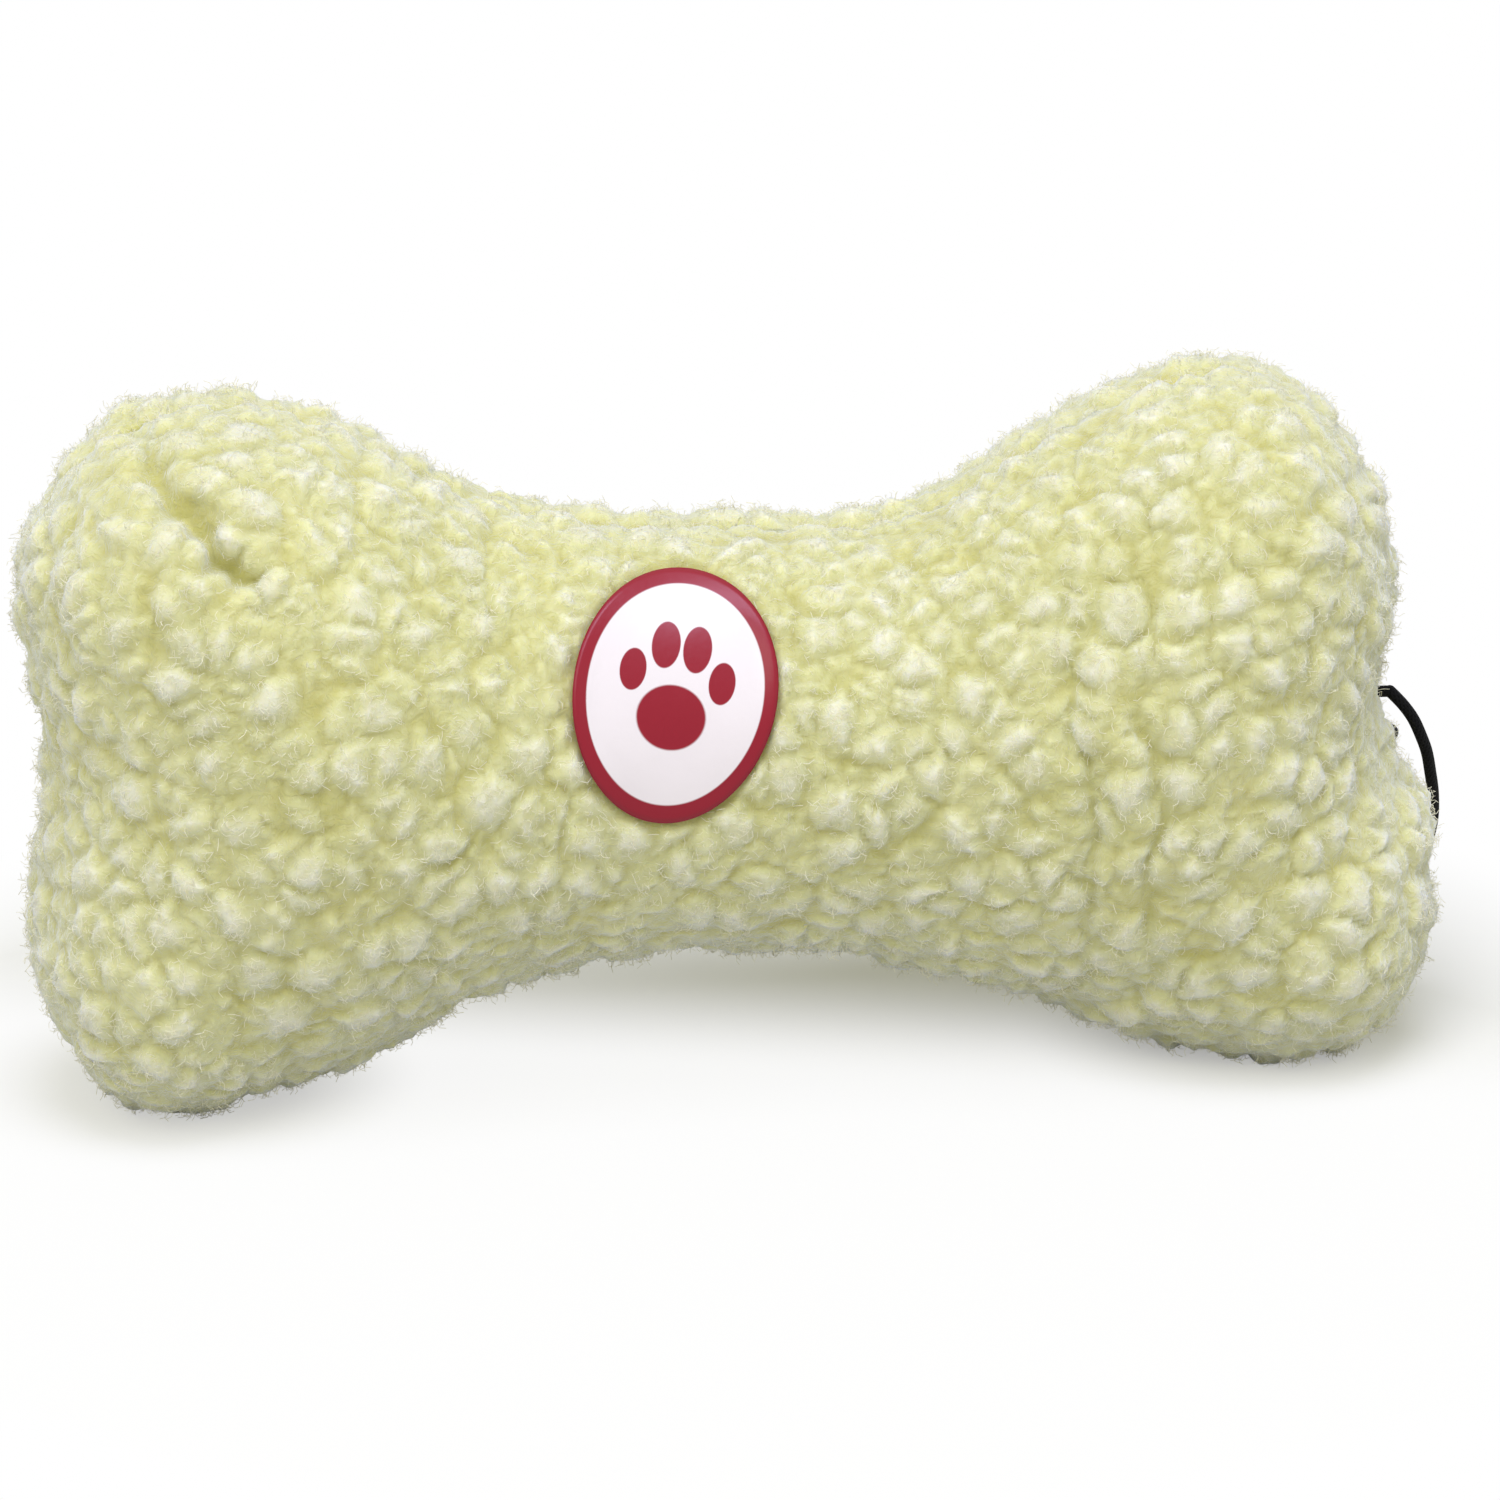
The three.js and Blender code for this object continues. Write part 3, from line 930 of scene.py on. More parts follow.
@dataclass(frozen=True)
class PaperFinish(Finish):
    """Glossy printed paper: a border and a paw print, both in one ink, on a pale ground."""

    ink: Rgb
    border: float = 0.865
    border_blur: float = 0.008
    paw_blur: float = 0.04
    paw: tuple[tuple[float, float, float, float], ...] = (
        (0.0, -0.20, 0.34, 0.25),
        (-0.44, 0.12, 0.13, 0.165),
        (-0.155, 0.35, 0.14, 0.185),
        (0.155, 0.35, 0.14, 0.185),
        (0.44, 0.12, 0.13, 0.165),
    )

    def build(self) -> bpy.types.Material:
        """Makes the material.

        Returns:
            The material.
        """
        made, g, spot, shader = self.start(Place.UV)
        middle = g.scaled(g.vector("SUBTRACT", spot, (0.5, 0.5, 0.0)), 2.0)
        reach = g.vector("LENGTH", middle)
        border = g.ranged(reach, self.border - self.border_blur, self.border + self.border_blur)
        nearest = FAR_OFF
        for x, y, half_width, half_height in self.paw:
            moved = g.vector("SUBTRACT", middle, (x, y, 0.0))
            shaped = g.vector("MULTIPLY", moved, (1 / half_width, 1 / half_height, 0.0))
            nearest = g.math("MINIMUM", nearest, g.vector("LENGTH", shaped))
        paw = g.ranged(nearest, 1.0 - self.paw_blur, 1.0 + self.paw_blur, 1.0, 0.0)
        print_mask = g.math("MAXIMUM", border, paw)
        feeds = {"Vector": spot, "Colour": rgba(self.colour), "Swells per metre": 3.0, "Spread": 0.012}
        ground = self.group(g, "soft_mottle", feeds)
        g.feed(shader.inputs["Base Color"], g.mixed(print_mask, ground, self.ink))
        grain = g.noise(spot, 26.0, 4.0)
        g.feed(shader.inputs["Normal"], self.bump(g, grain, 0.08, 0.0006))
        shader.inputs["Specular IOR Level"].default_value = 0.3
        shader.inputs["Coat Weight"].default_value = 0.12
        shader.inputs["Coat Roughness"].default_value = 0.2
        return made


@dataclass(frozen=True)
class PlasticFinish(Finish):
    """Moulded plastic with a faint mould grain."""

    transmission: float = 0.0
    grain: float = 900.0

    def build(self) -> bpy.types.Material:
        """Makes the material.

        Returns:
            The material.
        """
        made, g, spot, shader = self.start()
        feeds = {"Vector": spot, "Colour": rgba(self.colour), "Swells per metre": 220.0, "Spread": 0.03}
        g.feed(shader.inputs["Base Color"], self.group(g, "soft_mottle", feeds))
        relief = g.noise(spot, self.grain, 3.0)
        g.feed(shader.inputs["Normal"], self.bump(g, relief, 0.12, 0.0004))
        shader.inputs["Transmission Weight"].default_value = self.transmission
        shader.inputs["IOR"].default_value = 1.5
        return made


@dataclass(frozen=True)
class FloorFinish(Finish):
    """Pale floor that takes the shadow near the toy, with painted light: a white glow that covers the shadow
    in front of the toy and to its left and is weaker near the feet; it is plain white further off.
    """

    near: float = 0.118
    far: float = 0.175
    front_painted_light: float = 0.9
    back_painted_light: float = 0.0
    ramp: tuple[float, float] = (-0.004, 0.06)
    slant: float = 0.3
    feet: tuple[tuple[float, float], ...] = ((-0.0922, 0.0048), (0.0877, 0.0048))
    foot_reach: tuple[float, float] = (0.016, 0.042)
    foot_shade: float = 0.42
    bounce: float = 0.6

    def build(self) -> bpy.types.Material:
        """Makes the material.

        Returns:
            The material.
        """
        made, g, spot, shader = self.start()
        shader.inputs["Specular IOR Level"].default_value = 0.0
        parts = g.node("ShaderNodeSeparateXYZ", {0: spot}).outputs
        # Painted light: a white glow, mixed in for camera rays and reflections, strong in front of the toy
        # and to its left and none behind it, so the real shadow shows only behind and to the right
        behind = g.math("MULTIPLY_ADD", parts["X"], self.slant, parts["Y"])
        ramp = g.ranged(behind, *self.ramp, self.front_painted_light, self.back_painted_light)
        # Less painted light near the feet, so that the shadow under them shows
        for x, y in self.feet:
            away = g.vector("LENGTH", g.vector("SUBTRACT", spot, (x, y, 0.0)))
            ramp = g.math("MULTIPLY", ramp, g.ranged(away, *self.foot_reach, 1.0 - self.foot_shade, 1.0))
        share = g.math("MAXIMUM", ramp, g.ranged(g.vector("LENGTH", spot), self.near, self.far))
        seen = g.seen()
        dim = (self.bounce, self.bounce, self.bounce)
        g.feed(shader.inputs["Base Color"], g.mixed(seen, dim, self.colour))
        white = g.node("ShaderNodeEmission", {"Color": (1, 1, 1, 1), "Strength": 1.0})
        factor = g.math("MULTIPLY", share, seen)
        mix = g.node("ShaderNodeMixShader", {0: factor, 1: shader.outputs[0], 2: white.outputs[0]})
        g.feed(g.tree.nodes["Material Output"].inputs["Surface"], mix.outputs[0])
        return made


@dataclass(frozen=True)
class Palette:
    """Every finish of the toy and its floor."""

    fleece: PileFinish = PileFinish(
        "sherpa_fleece", linear(216, 215, 156), 0.95, "sherpa_fleece",
        painted_crevice_shade=linear(200, 195, 114), tip=linear(228, 227, 198),
    # Painted shade between the nubs and painted highlight at their tips
    )
    fuzz: FibreFinish = FibreFinish(
        "fleece_fuzz", linear(240, 237, 208), 0.9, "sherpa_fleece", 2200.0, 0.2, 0.05, 0.3
    )
    thread: FibreFinish = FibreFinish(
        "sewing_thread", linear(216, 210, 168), 0.8, "sewing_thread", 3200.0, 0.6
    )
    filling: FibreFinish = FibreFinish(
        "fibre_filling", linear(242, 241, 236), 1.0, "fibre_filling", 1100.0, 0.9
    )
    elastic: BraidFinish = BraidFinish("black_elastic", linear(11, 11, 12), 0.8, "black_elastic")
    paper: PaperFinish = PaperFinish(
        "sticker_paper", linear(233, 226, 222), 0.4, "sticker_paper", ink=linear(142, 9, 33)
    )
    bulb: PlasticFinish = PlasticFinish("bulb_plastic", linear(238, 240, 234), 0.42, "bulb_plastic", 0.25)
    reed: PlasticFinish = PlasticFinish("reed_plastic", linear(246, 245, 240), 0.28, "reed_plastic")
    film: PlasticFinish = PlasticFinish("reed_film", linear(217, 194, 122), 0.3, "reed_film", 0.4, 2600.0)
    floor: FloorFinish = FloorFinish("studio_floor", (0.80, 0.80, 0.70), 1.0, "")


class PileTree:
    """Geometry Nodes that grow curly nubs on a skin and keep one side of the seam."""

    SWAY = 0.8
    WOBBLE = 0.38
    SOFTNESS = 0.42
    SCATTER = 0.95
    DOME_REACH = 0.98
    GAP_WIDTH = 0.32
    CURL_REACH = 0.75
    CURL_SWAY = 0.002
    FINE_PER_METRE = 950.0
    FINE_HEIGHT = 0.00025
    LEAN_GAIN = 4.0

    @classmethod
    def build(cls) -> bpy.types.NodeTree:
        """Makes the tree.

        Returns:
            The node tree.
        """
        tree = bpy.data.node_groups.new("sherpa_pile", "GeometryNodeTree")
        g = Graph(tree)
        ins = g.entry(
            {
                "Geometry": ("NodeSocketGeometry", None),
                "Nub size": ("NodeSocketFloat", 0.0068),
                "Pile height": ("NodeSocketFloat", 0.003),
                "Curl size": ("NodeSocketFloat", 0.0021),
                "Curl height": ("NodeSocketFloat", 0.0006),
                "Lean": ("NodeSocketFloat", 0.0004),
                "Side": ("NodeSocketFloat", 1.0),
                "Material": ("NodeSocketMaterial", None),
            },
            {"Geometry": "NodeSocketGeometry"},
        ).outputs
        place = g.node("GeometryNodeInputPosition").outputs[0]
        normal = g.node("GeometryNodeInputNormal").outputs[0]
        share = g.stored("pile_share")
        nubs = g.math("DIVIDE", 1.0, ins["Nub size"])
        sway = g.noise(place, g.math("MULTIPLY", nubs, 0.62), 2.0, "Color")
        sway = g.vector("SUBTRACT", sway, NOISE_MIDDLE)
        warped = g.vector("ADD", place, g.scaled(sway, g.math("MULTIPLY", ins["Nub size"], cls.SWAY)))
        wobble = g.noise(place, g.math("MULTIPLY", nubs, 1.8), 1.0, "Color")
        wobble = g.vector("SUBTRACT", wobble, NOISE_MIDDLE)
        warped = g.vector("ADD", warped, g.scaled(wobble, g.math("MULTIPLY", ins["Nub size"], cls.WOBBLE)))
        feeds = {"Vector": warped, "Scale": nubs, "Randomness": cls.SCATTER}
        rims = g.node("ShaderNodeTexVoronoi", feeds, feature="DISTANCE_TO_EDGE").outputs
        feeds["Smoothness"] = cls.SOFTNESS
        cells = g.node("ShaderNodeTexVoronoi", feeds, feature="SMOOTH_F1").outputs
        reach = g.math("MINIMUM", g.math("DIVIDE", cells["Distance"], cls.DOME_REACH), 1.0)
        dome = g.math("SUBTRACT", 1.0, g.math("POWER", reach, 2.0))
        gap = g.ranged(rims["Distance"], 0.0, cls.GAP_WIDTH)
        dome = g.math("MULTIPLY", dome, g.math("MULTIPLY_ADD", gap, 0.5, 0.5))
        feeds = {
            "Vector": g.vector("ADD", warped, g.scaled(sway, cls.CURL_SWAY)),
            "Scale": g.math("DIVIDE", 1.0, ins["Curl size"]),
            "Smoothness": 0.5,
            "Randomness": 1.0,
        }
        curls = g.node("ShaderNodeTexVoronoi", feeds, feature="SMOOTH_F1").outputs
        curl = g.math("MINIMUM", g.math("DIVIDE", curls["Distance"], cls.CURL_REACH), 1.0)
        curl = g.math("SUBTRACT", 1.0, curl)
        swell = g.noise(place, g.math("MULTIPLY", nubs, 0.28), 2.0)
        toned = g.node("FunctionNodeSeparateColor", {0: cells["Color"]}).outputs[0]
        level = g.math("MULTIPLY", g.ranged(swell, 0.3, 0.7, 0.8, 1.0), g.ranged(toned, 0.0, 1.0, 0.75, 1.05))
        fine = g.noise(place, cls.FINE_PER_METRE, 3.0)
        tall = g.math("MULTIPLY", g.math("MULTIPLY", dome, level), ins["Pile height"])
        tall = g.math("MULTIPLY_ADD", g.math("SUBTRACT", curl, 0.45), ins["Curl height"], tall)
        tall = g.math("MULTIPLY_ADD", g.math("SUBTRACT", fine, 0.5), cls.FINE_HEIGHT, tall)
        tall = g.math("MULTIPLY", tall, share)
        lean = g.noise(place, g.math("MULTIPLY", nubs, 0.8), 1.0, "Color")
        lean = g.vector("SUBTRACT", lean, NOISE_MIDDLE)
        along = g.scaled(normal, g.vector("DOT_PRODUCT", lean, normal))
        slide = g.vector("SUBTRACT", lean, along)
        far = g.math("MULTIPLY", ins["Lean"], cls.LEAN_GAIN)
        slide = g.scaled(slide, g.math("MULTIPLY", g.math("MULTIPLY", dome, share), far))
        offset = g.vector("ADD", g.scaled(normal, tall), slide)
        # Height of the nubs, which the fleece finish turns into painted shade low down and painted highlight
        # at the tips
        high = g.math("ADD", g.math("MULTIPLY", dome, 0.78), g.math("MULTIPLY", curl, 0.3))
        high = g.math("MULTIPLY", high, share)
        y = g.node("ShaderNodeSeparateXYZ", {0: place}).outputs["Y"]
        shape = ins["Geometry"]
        stored = (
            ("half", g.math("MULTIPLY", y, ins["Side"]), "FACE"),
            ("pile", high, "POINT"),
            ("nub_tone", toned, "POINT"),
        )
        for name, value, domain in stored:
            feeds = {"Geometry": shape, "Name": name, "Value": value}
            kind = "GeometryNodeStoreNamedAttribute"
            shape = g.node(kind, feeds, data_type="FLOAT", domain=domain).outputs[0]
        grown = g.node("GeometryNodeSetPosition", {"Geometry": shape, "Offset": offset}).outputs[0]
        feeds = {0: g.stored("half"), 1: 0.0}
        mine = g.node("FunctionNodeCompare", feeds, data_type="FLOAT", operation="GREATER_EQUAL").outputs[0]
        feeds = {"Geometry": grown, "Selection": mine}
        split = g.node("GeometryNodeSeparateGeometry", feeds, domain="FACE").outputs[0]
        g.finish(split, ins["Material"])
        return tree


class FuzzTree:
    """Geometry Nodes that scatter stray curled fibres over the tips of a pile."""

    ARCS: tuple[tuple[float, float], ...] = ((0.0007, 2.6), (0.0005, 4.0), (0.0011, 1.7))
    ROOT = 0.0002
    LEAN = 0.7
    TIP = 0.35
    SIZES = (0.6, 1.25)

    @classmethod
    def build(cls) -> bpy.types.NodeTree:
        """Makes the tree.

        Returns:
            The node tree.
        """
        tree = bpy.data.node_groups.new("fleece_fuzz", "GeometryNodeTree")
        g = Graph(tree)
        ins = g.entry(
            {
                "Geometry": ("NodeSocketGeometry", None),
                "Density": ("NodeSocketFloat", 150000.0),
                "Thickness": ("NodeSocketFloat", 0.000045),
                "End": ("NodeSocketFloat", 1.0),
                "Seed": ("NodeSocketInt", 4),
                "Material": ("NodeSocketMaterial", None),
            },
            {"Geometry": "NodeSocketGeometry"},
        ).outputs
        pile, share = g.stored("pile"), g.stored("pile_share")
        thick = g.math("MULTIPLY", g.ranged(pile, 0.25, 0.8), ins["Density"])
        thick = g.math("MULTIPLY", thick, g.ranged(share, 0.6, 0.7))
        x = g.node("ShaderNodeSeparateXYZ", {0: g.node("GeometryNodeInputPosition").outputs[0]}).outputs["X"]
        thick = g.math("MULTIPLY", thick, g.math("GREATER_THAN", g.math("MULTIPLY", x, ins["End"]), 0.0))
        spread = g.node("GeometryNodeDistributePointsOnFaces",
                        {"Mesh": ins["Geometry"], "Density": thick, "Seed": ins["Seed"]}).outputs
        feeds = {"Resolution": 3, "Radius": ins["Thickness"]}
        ring = g.node("GeometryNodeCurvePrimitiveCircle", feeds).outputs[0]
        along = g.node("GeometryNodeSplineParameter").outputs["Factor"]
        taper = g.ranged(along, 0.0, 1.0, 1.0, cls.TIP, False)
        kinds = g.node("GeometryNodeGeometryToInstance")
        for radius, sweep in cls.ARCS:
            feeds = {"Resolution": 3, "Radius": radius, "Sweep Angle": sweep}
            arc = g.node("GeometryNodeCurveArc", feeds).outputs[0]
            thin = g.node("GeometryNodeSetCurveRadius", {"Curve": arc, "Radius": taper}).outputs[0]
            feeds = {"Curve": thin, "Profile Curve": ring, "Fill Caps": True}
            hair = g.node("GeometryNodeCurveToMesh", feeds).outputs[0]
            feeds = {"Geometry": hair, "Translation": (-radius, 0, -cls.ROOT)}
            moved = g.node("GeometryNodeTransform", feeds).outputs[0]
            feeds = {"Geometry": moved, "Rotation": (math.pi / 2, 0, 0)}
            g.feed(kinds.inputs[0], g.node("GeometryNodeTransform", feeds).outputs[0])
        least, most = cls.SIZES
        feeds = {2: least, 3: most, "Seed": 7}
        size = g.node("FunctionNodeRandomValue", feeds, data_type="FLOAT").outputs[1]
        placed = g.node("GeometryNodeInstanceOnPoints",
                        {"Points": spread["Points"], "Instance": kinds.outputs[0], "Pick Instance": True,
                         "Rotation": spread["Rotation"], "Scale": size}).outputs[0]
        feeds = {0: (-cls.LEAN, -cls.LEAN, 0.0), 1: (cls.LEAN, cls.LEAN, 6.283), "Seed": 11}
        turn = g.node("FunctionNodeRandomValue", feeds, data_type="FLOAT_VECTOR").outputs[0]
        turned = g.node("GeometryNodeRotateInstances", {"Instances": placed, "Rotation": turn}).outputs[0]
        g.finish(turned, ins["Material"])
        return tree


class StitchTree:
    """Geometry Nodes that repeat one stitch along a line in the plane of the seam."""

    @staticmethod
    def build() -> bpy.types.NodeTree:
        """Makes the tree.

        Returns:
            The node tree.
        """
        tree = bpy.data.node_groups.new("stitch_run", "GeometryNodeTree")
        g = Graph(tree)
        ins = g.entry(
            {
                "Geometry": ("NodeSocketGeometry", None),
                "Stitch": ("NodeSocketObject", None),
                "Pitch": ("NodeSocketFloat", 0.0026),
                "Material": ("NodeSocketMaterial", None),
            },
            {"Geometry": "NodeSocketGeometry"},
        ).outputs
        line = g.node("GeometryNodeMeshToCurve", {"Mesh": ins["Geometry"]}).outputs[0]
        feeds = {"Curve": line, "Length": ins["Pitch"]}
        steps = g.node("GeometryNodeResampleCurve", feeds, mode="LENGTH").outputs[0]
        tangent = g.node("GeometryNodeInputTangent").outputs[0]
        turn = g.node("FunctionNodeAlignRotationToVector", {"Vector": tangent}, axis="X").outputs[0]
        feeds = {"Rotation": turn, "Vector": (0.0, 1.0, 0.0)}
        turn = g.node("FunctionNodeAlignRotationToVector", feeds, axis="Y", pivot_axis="X").outputs[0]
        stitch = g.node("GeometryNodeObjectInfo", {"Object": ins["Stitch"]}).outputs["Geometry"]
        feeds = {"Points": steps, "Instance": stitch, "Rotation": turn}
        g.finish(g.node("GeometryNodeInstanceOnPoints", feeds).outputs[0], ins["Material"])
        return tree


class WadTree:
    """Geometry Nodes that tousle a wad of filling, always inward."""

    @staticmethod
    def build() -> bpy.types.NodeTree:
        """Makes the tree.

        Returns:
            The node tree.
        """
        tree = bpy.data.node_groups.new("fibre_wad", "GeometryNodeTree")
        g = Graph(tree)
        ins = g.entry(
            {
                "Geometry": ("NodeSocketGeometry", None),
                "Lump size": ("NodeSocketFloat", 0.011),
                "Lump depth": ("NodeSocketFloat", 0.0032),
                "Material": ("NodeSocketMaterial", None),
            },
            {"Geometry": "NodeSocketGeometry"},
        ).outputs
        place = g.node("GeometryNodeInputPosition").outputs[0]
        normal = g.node("GeometryNodeInputNormal").outputs[0]
        lumps = g.noise(place, g.math("DIVIDE", 1.0, ins["Lump size"]), 3.0)
        wisps = g.noise(place, 420.0, 3.0)
        relief = g.math("ADD", g.math("MULTIPLY", lumps, 0.7), g.math("MULTIPLY", wisps, 0.3))
        depth = g.math("MULTIPLY", relief, g.math("MULTIPLY", ins["Lump depth"], -1.0))
        feeds = {"Geometry": ins["Geometry"], "Offset": g.scaled(normal, depth)}
        g.finish(g.node("GeometryNodeSetPosition", feeds).outputs[0], ins["Material"])
        return tree


def tube(name: str, line: np.ndarray, radii: np.ndarray, sides: int) -> bpy.types.Object:
    """Round tube along a line, with a UV map that runs along and round it.

    Args:
        name: Name of the object.
        line: Points of its centre line.
        radii: Radius at each point.
        sides: Corners round it.

    Returns:
        The object.
    """
    ahead = np.roll(line, -1, axis=0) - np.roll(line, 1, axis=0)
    ahead[0], ahead[-1] = line[1] - line[0], line[-1] - line[-2]
    ahead = unit(ahead)
    across = unit(np.cross(ahead[0], ASIDE))
    rows = []
    turns = np.linspace(0, 2 * math.pi, sides, endpoint=False)
    cos, sin = np.cos(turns)[:, None], np.sin(turns)[:, None]
    for point, forward, radius in zip(line, ahead, radii):
        across = unit(across - forward * (across @ forward))
        rows.append(point + radius * (cos * across + sin * np.cross(forward, across)))
    points = np.vstack(rows)
    faces, places = [], []
    count = len(line) - 1
    for i in range(count):
        for j in range(sides):
            k = (j + 1) % sides
            a, b = i * sides, (i + 1) * sides
            faces.append((a + j, a + k, b + k, b + j))
            u, v = i / count, j / sides
            places += [(u, v), (u, v + 1 / sides), (u + 1 / count, v + 1 / sides), (u + 1 / count, v)]
    faces.append(tuple(range(sides - 1, -1, -1)))
    faces.append(tuple(range(count * sides, len(line) * sides)))
    places += [(0.0, j / sides) for j in range(sides - 1, -1, -1)]
    places += [(1.0, j / sides) for j in range(sides)]
    made = mesh_object(name, points, faces)
    layer = made.data.uv_layers.new(name="UVMap")
    layer.data.foreach_set("uv", np.array(places, np.float32).ravel())
    made.data.shade_smooth()
    return made


def lathe(
    name: str, profile: list[tuple[float, float]], sides: int, axis: str, centre: Point
) -> bpy.types.Object:
    """Closed body turned from a profile that starts and ends on the axis, or else meets itself.

    Args:
        name: Name of the object.
        profile: Distance along the axis and radius of each point, with the axis to the right.
        sides: Steps round it.
        axis: "X" or "Y".
        centre: Point on the axis that the profile is measured from.

    Returns:
        The object.
    """
    capped = profile[0][1] == 0
    rows = profile[1:-1] if capped else profile
    turns = np.linspace(0, 2 * math.pi, sides, endpoint=False)
    rings = [np.stack([np.full(sides, x), r * np.cos(turns), r * np.sin(turns)], axis=1) for x, r in rows]
    faces = []
    for i in range(len(rows) - 1 if capped else len(rows)):
        for j in range(sides):
            k = (j + 1) % sides
            a, b = i * sides, ((i + 1) % len(rows)) * sides
            faces.append((a + j, a + k, b + k, b + j))
    if capped:
        first = len(rows) * sides
        rings += [np.array([[x, 0.0, 0.0]]) for x, _ in (profile[0], profile[-1])]
        for j in range(sides):
            k = (j + 1) % sides
            faces.append((first, k, j))
            faces.append((first + 1, first - sides + j, first - sides + k))
    points = np.vstack(rings)
    if axis == "Y":
        points = points[:, [1, 0, 2]] * np.array([-1, 1, 1])
    return mesh_object(name, points + np.array(centre), faces)


def soften(mesh: bpy.types.Mesh, angle: float = 0.6) -> None:
    """Shades a mesh smooth but for its edges.

    Args:
        mesh: The mesh.
        angle: Turn between faces that makes an edge, in radians.
    """
    mesh.shade_smooth()
    mesh.set_sharp_from_angle(angle=angle)


@dataclass
class HangLoop:
    """Black elastic cord that leaves the right cleft, lies behind the lower lobe and comes back.

    Its route is in millimetres from the line that it swings on.
    """

    palette: Palette
    diameter: float = 0.002
    turn_x: float = 0.107576
    axis_z: float = 0.0572974
    route: tuple[Point, ...] = (
        (0.0, 0.0, 2.5), (1.1, 0.2, 1.4), (2.8, 0.8, -0.5), (4.6, 1.7, -3.0), (6.2, 3.0, -6.0),
        (7.9, 4.8, -9.7), (9.3, 7.2, -14.0), (10.7, 10.0, -19.0), (11.5, 12.8, -24.6), (10.9, 14.6, -30.2),
        (9.4, 16.4, -35.6), (7.2, 18.4, -40.2), (4.8, 20.6, -42.9), (2.5, 22.6, -42.9), (1.1, 24.2, -40.2),
        (0.8, 25.1, -35.0), (1.3, 25.0, -29.0), (1.8, 22.8, -22.8), (2.2, 19.0, -17.2), (2.4, 14.4, -12.6),
        (2.5, 9.6, -9.0), (2.1, 5.4, -6.5), (1.1, 2.2, -5.0), (0.0, 0.0, -4.0),
    )
    steps: int = 260
    cap_steps: int = 6
    blunt: float = 0.998
    sides: int = 20
    path_step: int = 4
    knot_x: float = 0.08808
    knot_drop: float = 0.00075
    knot_halves: Point = (0.0028, 0.0024, 0.0040)
    knot_draw: float = 0.72
    knot_gap: float = 0.35
    knot_lead: float = 0.006
    knot_steps: int = 170
    knot_sides: int = 14
    knot_thinning: float = 0.97
    knot_tip: float = 0.8

    def build(self) -> None:
        """Makes the loop and the knot that holds it behind the seam."""
        middle = np.array([self.turn_x, 0, self.axis_z])
        line = smooth_line(middle + np.array(self.route) / 1000, self.steps)
        radius = self.diameter / 2
        caps = np.linspace(1, 0, self.cap_steps, endpoint=False)
        first = line[0] - caps[:, None] * radius * unit(line[1] - line[0])
        last = line[-1] + caps[::-1, None] * radius * unit(line[-1] - line[-2])
        dome = np.sqrt(1 - np.minimum(caps, self.blunt) ** 2)
        line = np.vstack([first, line, last])
        radii = radius * np.concatenate([dome, np.ones(self.steps), dome[::-1]])
        loop = tube("elastic_hang_loop", line, radii, self.sides)
        loop.data.materials.append(self.palette.elastic.build())
        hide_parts("hang_loop")
        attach(loop, "loop")
        knot = self.knot(loop.data.materials[0])

    def knot(self, material: bpy.types.Material) -> bpy.types.Object:
        """Overhand knot behind the seam, with both ends running out through it.

        Args:
            material: Finish of the cord.

        Returns:
            The knot.
        """
        turns = np.linspace(self.knot_gap, 2 * math.pi - self.knot_gap, 60)
        middle = np.array([self.knot_x, 0, self.axis_z - self.knot_drop])
        wound = np.stack(
            [
                (np.sin(turns) + 2 * np.sin(2 * turns)) / 3,
                -np.sin(3 * turns),
                -(np.cos(turns) - 2 * np.cos(2 * turns)) / 3,
            ],
            axis=1,
        )
        core = middle + wound * np.array(self.knot_halves) * self.knot_draw
        heights = (self.route[0][2] / 1000, self.route[-1][2] / 1000)
        ends = [np.array([self.turn_x, 0, self.axis_z + z]) for z in heights]
        if core[0][2] < core[-1][2]:
            core = core[::-1]
        lead = [np.array([self.knot_x + self.knot_lead, 0, end[2]]) for end in ends]
        line = smooth_line(np.vstack([ends[0], lead[0], core[::4], lead[1], ends[1]]), self.knot_steps)
        radii = np.full(self.knot_steps, self.knot_thinning * self.diameter / 2)
        radii[[0, -1]] *= self.knot_tip
        knot = tube("elastic_knot", line, radii, self.knot_sides)
        knot.data.materials.append(material)
        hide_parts("hang_loop_knot")
        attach(knot, INNER_BODY)
        return knot


